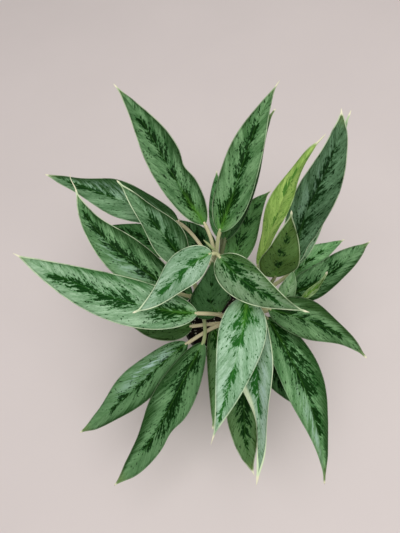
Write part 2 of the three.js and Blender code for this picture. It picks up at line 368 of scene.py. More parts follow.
class Rule(Weaver):
    """A Geometry Nodes tree with named inputs, whose result is kept as a plain mesh."""

    KINDS = {
        float: "NodeSocketFloat",
        int: "NodeSocketInt",
        Vector: "NodeSocketVector",
        bpy.types.Material: "NodeSocketMaterial",
    }

    def __init__(self, name: str) -> None:
        """Starts an empty tree.

        Args:
            name: The tree's name.
        """
        super().__init__(bpy.data.node_groups.new(name, "GeometryNodeTree"))
        face = self.tree.interface
        face.new_socket("Geometry", in_out="OUTPUT", socket_type="NodeSocketGeometry")
        face.new_socket("Geometry", in_out="INPUT", socket_type="NodeSocketGeometry")
        self.entry = self.node("NodeGroupInput")
        self.labels: dict[str, str] = {}

    def ask(self, label: str, kind: type = float) -> Field:
        """A named input.

        Args:
            label: The input's name.
            kind: What it takes.

        Returns:
            The input as a field.
        """
        made = self.tree.interface.new_socket(label, in_out="INPUT", socket_type=self.KINDS[kind])
        self.labels[label] = made.identifier
        return Field(self, self.entry.outputs[label])

    def chain(self, geometry: bpy.types.NodeSocket, kind: str, inputs: dict[str, object],
              **settings: object) -> bpy.types.NodeSocket:
        """Passes the geometry through one more node.

        Args:
            geometry: The geometry so far.
            kind: The node's type name.
            inputs: Values for its other inputs, by name.
            **settings: Its properties.

        Returns:
            The geometry after it.
        """
        made = self.node(kind, **settings)
        self.tree.links.new(geometry, made.inputs[0])
        for label, value in inputs.items():
            socket = next(s for s in made.inputs if s.name == label and s.enabled)
            self.feed(socket, value)
        return made.outputs[0]

    def store(self, geometry: bpy.types.NodeSocket, label: str, value: Field) -> bpy.types.NodeSocket:
        """Keeps a field on the points under a name, for the materials to read.

        Args:
            geometry: The geometry so far.
            label: The name.
            value: The field.

        Returns:
            The geometry after it.
        """
        kind = "FLOAT_VECTOR" if value.is_vector else "FLOAT"
        return self.chain(geometry, "GeometryNodeStoreNamedAttribute",
                          {"Name": label, "Value": value}, data_type=kind, domain="POINT")

    def grid(self, across: int, along: int) -> tuple[bpy.types.NodeSocket, Field, Field]:
        """A flat net to bend into shape.

        Args:
            across: How many faces it has one way.
            along: How many it has the other way.

        Returns:
            The net, and its two places from 0 to 1.
        """
        net = self.node("GeometryNodeMeshGrid")
        net.inputs["Size X"].default_value = 1.0
        net.inputs["Size Y"].default_value = 1.0
        net.inputs["Vertices X"].default_value = across + 1
        net.inputs["Vertices Y"].default_value = along + 1
        x, y, _ = self.split(Field(self, self.node("GeometryNodeInputPosition").outputs[0]))
        return net.outputs["Mesh"], x + 0.5, y + 0.5

    def chance(self, kind: str, low: float, high: float, seed: Field) -> Field:
        """A random number or vector for each point.

        Args:
            kind: "FLOAT" or "FLOAT_VECTOR".
            low: Its least value.
            high: Its greatest value.
            seed: The draw's seed.

        Returns:
            The draw.
        """
        made = self.node("FunctionNodeRandomValue", data_type=kind)
        sockets = {socket.name: socket for socket in made.inputs if socket.enabled}
        for label, value in (("Min", low), ("Max", high), ("Seed", seed)):
            self.feed(sockets[label], value)
        return Field(self, next(socket for socket in made.outputs if socket.enabled))

    def open_row(self, along: Field, rows: int) -> Field:
        """0 on the net's first and last row, which closes them to a point.

        Args:
            along: The place along the net.
            rows: How many rows it has.

        Returns:
            The share, 1 between those rows.
        """
        return along.above(0.5 / rows) * (1 - along).above(0.5 / rows)

    def close(self, geometry: bpy.types.NodeSocket, material: Field) -> None:
        """Welds the seams, smooths the shading and ends the tree.

        Args:
            geometry: The finished shape.
            material: Its material.
        """
        welded = self.chain(geometry, "GeometryNodeMergeByDistance", {"Distance": WELD})
        smooth = self.chain(welded, "GeometryNodeSetShadeSmooth", {})
        self.end(smooth, material)

    def end(self, geometry: bpy.types.NodeSocket, material: Field) -> None:
        """Makes instances real, sets the material and links the tree's output.

        Args:
            geometry: The finished shape.
            material: Its material.
        """
        real = self.chain(geometry, "GeometryNodeRealizeInstances", {})
        dressed = self.chain(real, "GeometryNodeSetMaterial", {"Material": material})
        self.tree.links.new(dressed, self.node("NodeGroupOutput").inputs[0])

    def bake(self, name: str, values: dict[str, object],
             start: bpy.types.Mesh | None = None) -> bpy.types.Object:
        """Runs the tree once and keeps what it makes.

        Args:
            name: The new object's name.
            values: The tree's inputs, by name.
            start: The mesh that the tree works on, if it needs one.

        Returns:
            An object with the plain mesh, at the origin.
        """
        holder = link_object(f"{name}_rule", start or bpy.data.meshes.new(f"{name}_rule"))
        modifier = holder.modifiers.new("rule", "NODES")
        modifier.node_group = self.tree
        for label, value in values.items():
            modifier[self.labels[label]] = value
        return keep_plain(holder, name)


def link_object(name: str, data: bpy.types.ID | None) -> bpy.types.Object:
    """A new object in the scene, at the origin.

    Args:
        name: Its name.
        data: What it shows, or nothing.

    Returns:
        The object.
    """
    made = bpy.data.objects.new(name, data)
    bpy.context.scene.collection.objects.link(made)
    return made


def keep_plain(holder: bpy.types.Object, name: str) -> bpy.types.Object:
    """Turns an object with modifiers into a plain one.

    Args:
        holder: The object, which is removed.
        name: The new object's name.

    Returns:
        The plain object.
    """
    graph = bpy.context.evaluated_depsgraph_get()
    result = holder.evaluated_get(graph)
    mesh = bpy.data.meshes.new_from_object(result, preserve_all_data_layers=True, depsgraph=graph)
    holder.modifiers.clear()
    bpy.data.objects.remove(holder)
    mesh.name = name
    return link_object(name, mesh)


def join(name: str, parts: Sequence[bpy.types.Object]) -> bpy.types.Object:
    """One object from several.

    Args:
        name: The joined object's name.
        parts: The objects, which are used up.

    Returns:
        The joined object.
    """
    first = parts[0]
    with bpy.context.temp_override(active_object=first, object=first, selected_editable_objects=list(parts)):
        bpy.ops.object.join()
    first.name = name
    first.data.name = name
    return first


def ring(radius: float, sides: int, level: Callable[[float, float], float]) -> list[Triple]:
    """A ring of points.

    Args:
        radius: Its radius, or 0 for one point.
        sides: How many points it has otherwise.
        level: Gives the height at a place.

    Returns:
        The points, in millimetres.
    """
    points = []
    for i in range(sides if radius > 0 else 1):
        angle = math.tau * i / sides
        x, y = radius * math.cos(angle), radius * math.sin(angle)
        points.append((x, y, level(x, y)))
    return points


def lofted(name: str, rings: Sequence[Sequence[Triple]]) -> bpy.types.Object:
    """A closed body through rings of points, the first and the last of which are single points.

    Args:
        name: The object's name.
        rings: The rings, in millimetres.

    Returns:
        The body.
    """
    mesh = bpy.data.meshes.new(name)
    shape = bmesh.new()
    rows = [[shape.verts.new(metres(point)) for point in points] for points in rings]
    for low, high in zip(rows, rows[1:]):
        sides = max(len(low), len(high))
        for i in range(sides):
            j = (i + 1) % sides
            corners = [low[i % len(low)], low[j % len(low)], high[j % len(high)], high[i % len(high)]]
            shape.faces.new(list(dict.fromkeys(corners)))
    bmesh.ops.recalc_face_normals(shape, faces=shape.faces)
    shape.to_mesh(mesh)
    shape.free()
    mesh.shade_smooth()
    return link_object(name, mesh)


def bezier(points: Sequence[Field], t: Field) -> tuple[Field, Field]:
    """A place on a cubic Bezier curve, as nodes.

    Args:
        points: Its start, two handles and end.
        t: The curve's parameter.

    Returns:
        The place there and the unit vector along the curve.
    """
    start, near, far, end = points
    rise = (near - start) * 3
    bend = (start - near * 2 + far) * 3
    twist = end - start + (near - far) * 3
    place = start + (rise + (bend + twist * t) * t) * t
    heading = (rise + (bend * 2 + twist * (t * 3)) * t).normalized()
    return place, heading


@dataclass(frozen=True)
class Curve:
    """A cubic Bezier curve in metres."""

    start: Vector
    near: Vector
    far: Vector
    end: Vector

    def at(self, t: float) -> Vector:
        """A place on it.

        Args:
            t: The parameter from 0 to 1.

        Returns:
            The place.
        """
        u = 1 - t
        return (self.start * u**3 + self.near * (3 * u * u * t)
                + self.far * (3 * u * t * t) + self.end * t**3)

    def heading(self, t: float) -> Vector:
        """The way that it runs.

        Args:
            t: The parameter from 0 to 1.

        Returns:
            The unit vector along it.
        """
        u = 1 - t
        slope = ((self.near - self.start) * (u * u) + (self.far - self.near) * (2 * u * t)
                 + (self.end - self.far) * (t * t))
        return slope.normalized()

    def length(self, steps: int = 24) -> float:
        """Its length, from short chords.

        Args:
            steps: How many chords.

        Returns:
            The length in metres.
        """
        points = [self.at(i / steps) for i in range(steps + 1)]
        return sum((b - a).length for a, b in zip(points, points[1:]))


# ---------------------------------------------------------------- finishes


class Skin(Weaver):
    """A material under construction, with one Principled shader."""

    def __init__(self, name: str) -> None:
        """Starts the material.

        Args:
            name: The material's name.
        """
        self.material = bpy.data.materials.new(name)
        self.material.use_nodes = True
        super().__init__(self.material.node_tree)
        self.shader = self.tree.nodes["Principled BSDF"]

    def attribute(self, label: str) -> Field:
        """A vector that the piece's mesh carries."""
        return Field(self, self.node("ShaderNodeAttribute", attribute_name=label).outputs["Vector"])

    def amount(self, label: str) -> Field:
        """A number that the piece's mesh carries."""
        return Field(self, self.node("ShaderNodeAttribute", attribute_name=label).outputs["Fac"])

    def place(self) -> Field:
        """The place on the object, in metres."""
        return Field(self, self.node("ShaderNodeTexCoord").outputs["Object"])

    def mix(self, share: object, first: object, second: object) -> Field:
        """A colour between two.

        Args:
            share: 0 for the first and 1 for the second.
            first: A field or an sRGB code.
            second: A field or an sRGB code.

        Returns:
            The colour between.
        """
        made = self.node("ShaderNodeMix", data_type="RGBA")
        colours = (paint(c) if isinstance(c, str) else c for c in (first, second))
        for socket, value in zip((s for s in made.inputs if s.enabled), (share, *colours)):
            self.feed(socket, value)
        return Field(self, next(s for s in made.outputs if s.enabled))

    def shade(self, colour: Field | str, strength: Field) -> Field:
        """A colour made brighter or darker.

        Args:
            colour: A field or an sRGB code.
            strength: Above 1 for brighter and below it for darker.

        Returns:
            The colour.
        """
        made = self.node("ShaderNodeMix", data_type="RGBA", blend_type="MULTIPLY")
        grey = self.node("ShaderNodeCombineColor")
        for socket in grey.inputs[:3]:
            self.feed(socket, strength)
        sockets = [s for s in made.inputs if s.enabled]
        self.feed(sockets[0], 1.0)
        self.feed(sockets[1], paint(colour) if isinstance(colour, str) else colour)
        self.tree.links.new(grey.outputs[0], sockets[2])
        return Field(self, next(s for s in made.outputs if s.enabled))

    def finish(self, colour: Field, rough: object, height: Field | None = None, depth: float = 0.0,
               **settings: float) -> bpy.types.Material:
        """Ends the material.

        Args:
            colour: Its base colour.
            rough: Its roughness.
            height: A relief from 0 to 1, if it has one.
            depth: How deep that relief is, in metres.
            **settings: Other shader inputs, with spaces as underscores.

        Returns:
            The material.
        """
        self.feed(self.shader.inputs["Base Color"], colour)
        self.feed(self.shader.inputs["Roughness"], rough)
        for label, value in settings.items():
            self.shader.inputs[label.replace("_", " ")].default_value = value
        if height is not None:
            bump = self.node("ShaderNodeBump")
            bump.inputs["Distance"].default_value = depth
            self.feed(bump.inputs["Height"], height)
            self.tree.links.new(bump.outputs[0], self.shader.inputs["Normal"])
        return self.material


@dataclass(frozen=True)
class Pattern:
    """A noise on a blade.

    out and along are its features in a millimetre out from the rib and along it, and shift is its own place
    in the noise. lean is how far it slopes to the tip in each millimetre out. Without one it runs with the
    side veins.
    """

    out: float
    along: float
    shift: float
    lean: float | None = None
    detail: float = 3.0
    rough: float = 0.5


BARBS = Pattern(0.11, 0.16, 0, rough=0.6)
FINE_STREAKS = Pattern(0.40, 0.34, 5, lean=1.3, rough=0.65)
GRAIN = Pattern(0.90, 0.80, 2, lean=1.3, detail=2, rough=0.6)
ISLANDS = Pattern(0.30, 0.20, 7, lean=1.0, rough=0.65)
CLOUDS = Pattern(0.06, 0.045, 9, detail=2)
SPECK_PATCHES = Pattern(0.10, 0.06, 14, lean=0.0, detail=1)
BEATS = Pattern(0.03, 0.075, 11, detail=1)


@dataclass(frozen=True)
class BladeFinish:
    """The skin of a blade: silver ground, feathered dark blotches along the midrib, specks and a pale rim.

    Colours are sRGB codes, and lengths are millimetres. A span is where a layer begins and where it is
    whole. Those of the base and the tip are shares of the blade's length. The sheen and the frosty
    reflection are painted highlights: pale colours laid into the blade's colour where light would shine
    off it. The specks' pitch and the painted sheen's spread have one value out from the midrib and one
    along it.
    """

    ground: str
    cloud: str
    fringe: str
    deep: str
    outer: str
    rib: str
    rim: str = "d6e6bf"
    tip: str = "ebe8c8"
    back: str = "7c9a70"
    # Painted reflection: a frosty blue-grey colour laid over the blade like light shining off it.
    painted_reflection: str = "a9c0b6"
    # Painted highlight: a pale blue-green sheen laid over one half of the blade.
    sheen: str = "a6c3b8"
    olive: str = "4c642a"
    glow: str = "58932f"
    warm: str = "8c9c50"
    rough: float = 0.42
    rough_swing: float = 0.3
    specular: float = 0.03
    relief_depth: float = 0.35
    vein_curve: float = 0.012
    vein_gap: float = 7.5
    vein_stray: float = 1.5
    vein_span: Pair = (0.78, 1.0)
    patch_span: Pair = (0.34, 0.64)
    outer_span: Pair = (0.95, 1.45)
    outer_pull: float = 1.15
    base_span: Pair = (0.0, 0.06)
    tip_span: Pair = (0.78, 0.97)
    beat_span: Pair = (0.38, 0.52)
    core_span: Pair = (-0.03, 0.09)
    fringe_span: Pair = (-0.60, 0.0)
    crowd_span: Pair = (0.49, 0.57)
    speck_span: Pair = (0.22, 0.38)
    speck_pitch: Pair = (0.34, 0.28)
    darkest: float = 0.985
    rim_width: float = 1.25
    rib_spread: float = 0.6
    under_rib_spread: float = 1.4
    glow_spread: float = 2.2
    painted_sheen_across: float = 0.38
    painted_sheen_spread: Pair = (0.30, 0.22)
    curl_at: float = 0.50
    curl_spread: float = 0.13

    def material(self, name: str) -> bpy.types.Material:
        """Builds the material.

        Args:
            name: The material's name.

        Returns:
            The material.
        """
        return BladeSkin(name, self).build()


class BladeSkin(Skin):
    """A blade's material under construction, with the places, patterns and values that its layers share.

    across is the share of the half-width out from the midrib and reach that half-width. x and s are the
    millimetres out from the midrib and along it, and t is the share of the length. side is 1 on one half.
    vein is 1 on a side vein, and streak is how much lighter or darker each streak is, round 0.
    """

    def __init__(self, name: str, finish: BladeFinish) -> None:
        """Reads what the mesh carries and lays out the patterns.

        Args:
            name: The material's name.
            finish: Its colours and sizes.
        """
        super().__init__(name)
        self.hues = finish
        v, self.t, self.reach = self.split(self.attribute("place"))
        seed, self.length, self.mark = self.split(self.attribute("tune"))
        self.left, self.right, self.tone = self.split(self.attribute("shade"))
        self.cast, self.speckle, self.glow = self.split(self.attribute("accent"))
        self.under, self.thread, self.sheen = self.split(self.attribute("hem"))
        self.margin, self.painted_sheen_at, self.stir = self.split(self.attribute("rim"))
        self.side = v.above(0)
        self.across = abs(v)
        self.x = self.across * self.reach
        self.s = self.t * self.length
        self.slant = self.s - self.x * VEIN_SLANT - self.x * self.x * finish.vein_curve
        self.here = seed * 7.3 + self.side * 31.7
        self.barb, self.fine, self.grain, self.isle, self.cloud = (
            self.pattern(kind) for kind in (BARBS, FINE_STREAKS, GRAIN, ISLANDS, CLOUDS))
        turns = self.slant / finish.vein_gap + (self.cloud - 0.5) * finish.vein_stray
        line = abs(self.math("FRACT", turns) - 0.5) * 2
        self.vein = self.step(line, *finish.vein_span) * self.step(self.x, 0.6, 2.5)
        self.streak = ((self.cloud - 0.5) * -0.5 + (self.barb - 0.5) * -0.35
                       + (self.fine - 0.5) * -0.6 + (self.grain - 0.5) * 0.6)

    def pattern(self, kind: Pattern) -> Field:
        """A noise that runs over the blade.

        Args:
            kind: Its sizes.

        Returns:
            The noise, from 0 to 1.
        """
        along = self.slant if kind.lean is None else self.s - self.x * kind.lean
        place = self.gather(self.x * kind.out, along * kind.along, self.here + kind.shift)
        return self.noise(place, 1.0, kind.detail, kind.rough)

    def ground(self) -> Field:
        """The silver ground with its green outer zone, which is partly painted shade, made frosty by a
        painted reflection where the leaf's value is above 0 and olive where it is below.

        Returns:
            The colour.
        """
        patchy = self.cloud * 0.5 + self.barb * 0.25 + self.fine * 0.25
        pale = (self.step(patchy, *self.hues.patch_span) - 0.5) * self.stir + 0.5
        # Painted shade in part: each half's value widens its dark green outer zone, partly the leaf's own
        # margin and partly shade on the half turned from the light.
        pulled = self.blend(self.side, self.left, self.right) * -self.hues.outer_pull
        marbled = self.across * 0.9 + (self.cloud - 0.5) * 0.7 + (self.barb - 0.5) * 0.7
        outer = self.step(marbled, *(pulled + limit for limit in self.hues.outer_span))
        colour = self.mix(pale, self.hues.ground, self.hues.cloud)
        # Painted frosty reflection: blue-grey laid over the ground, as strong as the leaf's positive value.
        colour = self.mix(self.clamp(self.cast, 0.0, 1.0) * (1 - pale * 0.6), colour, self.hues.painted_reflection)
        colour = self.mix(outer * 0.9, colour, self.hues.outer)
        colour = self.mix(self.clamp(self.cast * -1, 0.0, 1.0), colour, self.hues.olive)
        fan = (1 - self.step(self.t, 0.03, 0.16)) * self.step(self.across + self.barb, 1.5, 0.7)
        return self.mix(fan * self.glow * 0.5, colour, self.hues.glow)

    def blotched(self, colour: Field) -> tuple[Field, Field]:
        """Lays the dark blotches and specks on the ground.

        Args:
            colour: The ground.

        Returns:
            The colour with them, and how dark it is there, from 0 to 1.
        """
        hues = self.hues
        ends = self.step(self.t, *hues.base_span) * (1 - self.step(self.t, *hues.tip_span))
        beat = self.step(self.pattern(BEATS), *hues.beat_span)
        strong = self.mark * ends * (beat * 0.55 + 0.6)
        inside = strong + (self.barb - 0.5) * 1.7 + (self.isle - 0.5) * 3.0 + (self.fine - 0.5) * 1.6 - 0.5
        core = self.step(inside, *hues.core_span)
        fringe = self.step(inside, *hues.fringe_span) * self.step(strong, 0.02, 0.30)
        crowd = self.pattern(SPECK_PATCHES) + self.speckle + self.mark * 0.3 - self.t * 0.2
        wide, long = hues.speck_pitch
        dots = self.cells(self.gather(self.x * wide, self.s * long, self.here), 1.0)
        specks = (1 - self.step(dots, *hues.speck_span)) * self.step(crowd, *hues.crowd_span) * ends
        dark = self.clamp(core + specks * 0.85, 0.0, hues.darkest)
        # The painted frosty reflection also lightens the deepest green of the blotches.
        deep = self.mix(self.clamp(self.cast * 1.5, 0.0, 1.0), hues.deep, hues.fringe)
        colour = self.mix(fringe * 0.62, colour, hues.fringe)
        return self.mix(dark, colour, deep), dark

    def veined(self, colour: Field, dark: Field) -> Field:
        """Draws the side veins, the midrib and the bright green that spreads from the blade's base.

        Args:
            colour: The colour so far.
            dark: How dark the blotches are there.

        Returns:
            The colour with them.
        """
        colour = self.mix(self.vein * (0.28 - dark * 0.18), colour, self.hues.ground)
        near_rib = self.bell(self.x + (self.isle - 0.5) * 8, self.hues.glow_spread)
        basal = (1 - self.step(self.t, 0.03, 0.32)) * self.glow
        lit = self.clamp(near_rib * 0.8 + self.vein * self.step(self.x, 22.0, 2.0), 0.0, 1.0)
        colour = self.mix(lit * basal, colour, self.hues.glow)
        midrib = self.bell(self.x, self.hues.rib_spread) * (0.45 - self.t * 0.4)
        return self.mix(midrib, colour, self.hues.rib)

    def with_painted_sheen(self, colour: Field, dark: Field) -> Field:
        """Lays a painted highlight, a pale sheen, over one half, broken up along its streaks.

        Args:
            colour: The colour so far.
            dark: How dark the blotches are there.

        Returns:
            The colour with it.
        """
        lit_half = self.blend(self.side, self.clamp(self.sheen * -1, 0.0, 1.0),
                              self.clamp(self.sheen, 0.0, 1.0))
        ridge = self.step(self.barb * 0.5 + self.cloud * 0.35 + self.fine * 0.15, 0.54, 0.40)
        wide, long = self.hues.painted_sheen_spread
        band = self.bell(self.across - self.hues.painted_sheen_across, wide)
        band = band * self.bell(self.t - self.painted_sheen_at, long)
        return self.mix(ridge * band * lit_half * (1 - dark * 0.7), colour, self.hues.sheen)

    def edged(self, colour: Field) -> Field:
        """Adds the dark line inside the margin, the frayed pale rim and the cream drip tip.

        Args:
            colour: The colour so far.

        Returns:
            The colour with them.
        """
        edge = (1 - self.across) * self.reach
        colour = self.shade(colour, 1 - self.bell(edge - 2.0, 1.1) * 0.25)
        colour = self.mix(self.step(self.t, 0.86, 0.99) * 0.35, colour, self.hues.warm)
        width = self.step(self.t, 0.6, 0.95) * (self.thread * 0.06 + 0.4) + self.hues.rim_width
        curled = self.bell(self.t - self.hues.curl_at, self.hues.curl_spread)
        width = width + self.clamp(self.margin - 1, 0.0, 9.0) * self.side * curled
        rim = self.step(edge, width, width * 0.5)
        frayed = self.step(self.noise(self.gather(self.s * 0.05, self.here, 3.0), detail=3), 0.32, 0.56)
        frayed = (frayed * 0.7 + 0.3) * self.margin + (self.margin - 0.8)
        frayed = self.clamp(self.math("MINIMUM", frayed, self.margin), 0.1, 1.0)
        colour = self.mix(rim * frayed, colour, self.hues.rim)
        return self.mix(self.step(self.s - self.length + self.thread, -5.0, 0.0), colour, self.hues.tip)

    def underside(self) -> Field:
        """The paler underside with its raised rib.

        Returns:
            The colour.
        """
        colour = self.mix(self.vein * 0.5, self.hues.back, self.hues.outer)
        colour = self.shade(colour, self.streak * 0.4 + 1)
        return self.mix(self.bell(self.x, self.hues.under_rib_spread), colour, self.hues.rim)

    def build(self) -> bpy.types.Material:
        """Lays the layers over each other and ends the material.

        Returns:
            The material.
        """
        top, dark = self.blotched(self.ground())
        top = self.shade(self.veined(top, dark), self.streak * self.stir + self.tone)
        top = self.edged(self.with_painted_sheen(top, dark))
        colour = self.mix(self.step(self.under, 0.5, 0.9), top, self.underside())
        relief = self.vein * -0.5 + self.grain * 0.5 + self.fine * 0.6
        rough = (self.fine - 0.5) * self.hues.rough_swing + self.hues.rough
        return self.finish(colour, rough, relief, self.hues.relief_depth * MM,
                           Specular_IOR_Level=self.hues.specular)


@dataclass(frozen=True)
class StalkFinish:
    """The skin of canes and leaf stalks: pale green to beige, with fine lengthwise fibres."""

    green: str = "9cab74"
    beige: str = "d0c6a0"
    blush: str = "c2a488"
    scar: str = "8b8258"
    rough: float = 0.42
    specular: float = 0.45
    relief_depth: float = 0.2
    blush_span: Pair = (0.58, 0.74)
    fibres: float = 26.0

    def material(self, name: str) -> bpy.types.Material:
        """Builds the material.

        Args:
            name: The material's name.

        Returns:
            The material.
        """
        skin = Skin(name)
        around, along, _ = skin.split(skin.attribute("place"))
        seed, length, tone = skin.split(skin.attribute("tune"))
        scar = skin.amount("scar")
        turn = skin.gather(skin.sine(around) * 3, skin.sine(around + 0.25) * 3, seed * 9.1)
        s = along * length
        fibre = skin.noise(skin.gather(around * self.fibres, s * 0.05, seed), detail=2)
        cloud = skin.noise(turn + skin.gather(0.0, 0.0, s * 0.10), detail=2)
        mottle = skin.noise(skin.gather(around * 9, s * 0.5, seed + 4), detail=3)
        pale = skin.mix(skin.clamp(tone + (cloud - 0.5) * 0.9, 0.0, 1.0), self.beige, self.green)
        pale = skin.mix(skin.step(mottle, *self.blush_span) * 0.45, pale, self.blush)
        pale = skin.mix(skin.clamp(scar * 1.2, 0.0, 0.8), pale, self.scar)
        colour = skin.shade(pale, (fibre - 0.5) * 0.5 + 1.0 + skin.clamp(tone - 1, 0.0, 1.0) * -0.6)
        return skin.finish(colour, (mottle - 0.5) * 0.2 + self.rough, fibre, self.relief_depth * MM,
                           Specular_IOR_Level=self.specular)


@dataclass(frozen=True)
class PotFinish:
    """Black moulded plastic: a fine spark-eroded grain, scuffs, dust, and splashes towards the foot.

    Pitches are how many features there are in a metre, and the relief is in millimetres.
    """

    plastic: str = "161718"
    worn: str = "34363a"
    dust: str = "6a6055"
    rough: float = 0.44
    specular: float = 0.5
    relief_depth: float = 0.06
    grain_pitch: float = 2600.0
    cloud_pitch: float = 26.0
    splash_pitch: float = 170.0
    scuff_pitch: Triple = (60.0, 60.0, 520.0)
    scuff_span: Pair = (0.60, 0.78)
    dust_span: Pair = (0.45, 0.75)
    splash_span: Pair = (0.60, 0.66)
    splashed_share: float = 0.35

    def material(self, name: str, height: float) -> bpy.types.Material:
        """Builds the material.

        Args:
            name: The material's name.
            height: The pot's height, in metres.

        Returns:
            The material.
        """
        skin = Skin(name)
        place = skin.place()
        _, _, z = skin.split(place)
        grain = skin.noise(place, self.grain_pitch, 2)
        cloud = skin.noise(place, self.cloud_pitch, 4)
        scuff = skin.noise(skin.vector("MULTIPLY", place, self.scuff_pitch), 1.0, 3)
        splash = skin.step(skin.noise(place, self.splash_pitch, 3), *self.splash_span)
        low = 1 - skin.step(z, 0.0, height * self.splashed_share)
        colour = skin.mix(skin.step(scuff, *self.scuff_span) * 0.5, self.plastic, self.worn)
        dusty = skin.clamp(skin.step(cloud, *self.dust_span) * 0.22 + low * splash * 0.35, 0.0, 1.0)
        colour = skin.mix(dusty, colour, self.dust)
        rough = (cloud - 0.5) * 0.3 + self.rough
        return skin.finish(colour, rough, grain + scuff * 0.6, self.relief_depth * MM,
                           Specular_IOR_Level=self.specular)


@dataclass(frozen=True)
class SoilFinish:
    """Damp potting mix, or with paler colours the white grains in it.

    grain_pitch is how many features there are in a metre, and the relief is in millimetres.
    """

    dark: str = "0b0806"
    mid: str = "20170f"
    light: str = "473523"
    rough: float = 0.86
    specular: float = 0.3
    relief_depth: float = 0.5
    grain_pitch: float = 900.0
    coarse_share: float = 0.22
    coarse_span: Pair = (0.36, 0.62)
    fine_span: Pair = (0.56, 0.72)

    def material(self, name: str) -> bpy.types.Material:
        """Builds the material.

        Args:
            name: The material's name.

        Returns:
            The material.
        """
        skin = Skin(name)
        place = skin.place()
        coarse = skin.noise(place, self.grain_pitch * self.coarse_share, 4, 0.6)
        fine = skin.noise(place, self.grain_pitch, 3, 0.6)
        colour = skin.mix(skin.step(coarse, *self.coarse_span), self.dark, self.mid)
        colour = skin.mix(skin.step(fine, *self.fine_span) * 0.7, colour, self.light)
        rough = (coarse - 0.5) * 0.2 + self.rough
        return skin.finish(colour, rough, fine + coarse, self.relief_depth * MM,
                           Specular_IOR_Level=self.specular)


class Look(Enum):
    """A blade's finish. Its value names the finish's material, and is the record's slot name for it."""

    SILVER = "silver_blade"
    GREEN = "green_blade"
    DARK = "dark_blade"
    YOUNG = "young_blade"


BLADE_FINISHES = {
    Look.SILVER: BladeFinish(ground="9bbb98", cloud="6d9a6b", fringe="2c7229", deep="0d3a0a", outer="3a7035",
                             rib="4f8f3c"),
    Look.GREEN: BladeFinish(ground="7aa272", cloud="4b7a47", fringe="1f591f", deep="0a2e06", outer="22481a",
                            rib="4c8130"),
    Look.DARK: BladeFinish(ground="50784c", cloud="30552c", fringe="1c451c", deep="092306", outer="1b3814",
                           rib="3e6a2e"),
    Look.YOUNG: BladeFinish(ground="94b05e", cloud="769848", fringe="5c8a35", deep="44702a", outer="6c8f3b",
                            rib="a4c064", back="a6bb6e"),
}


# ---------------------------------------------------------------- pot


def rounded(corners: Sequence[Triple], steps: int = 5) -> list[Pair]:
    """An outline with its corners rounded.

    Args:
        corners: Points of radius, height and corner radius.
        steps: How many pieces each rounding has.

    Returns:
        The points of the outline.
    """
    outline: list[Pair] = []
    for i, (x, y, size) in enumerate(corners):
        here = Vector((x, y))
        if size <= 0 or i in (0, len(corners) - 1):
            outline.append((x, y))
            continue
        before = (Vector(corners[i - 1][:2]) - here).normalized()
        after = (Vector(corners[i + 1][:2]) - here).normalized()
        for k in range(steps + 1):
            u = k / steps
            point = here + before * (size * (1 - u) ** 2) + after * (size * u**2)
            outline.append((point.x, point.y))
    return outline


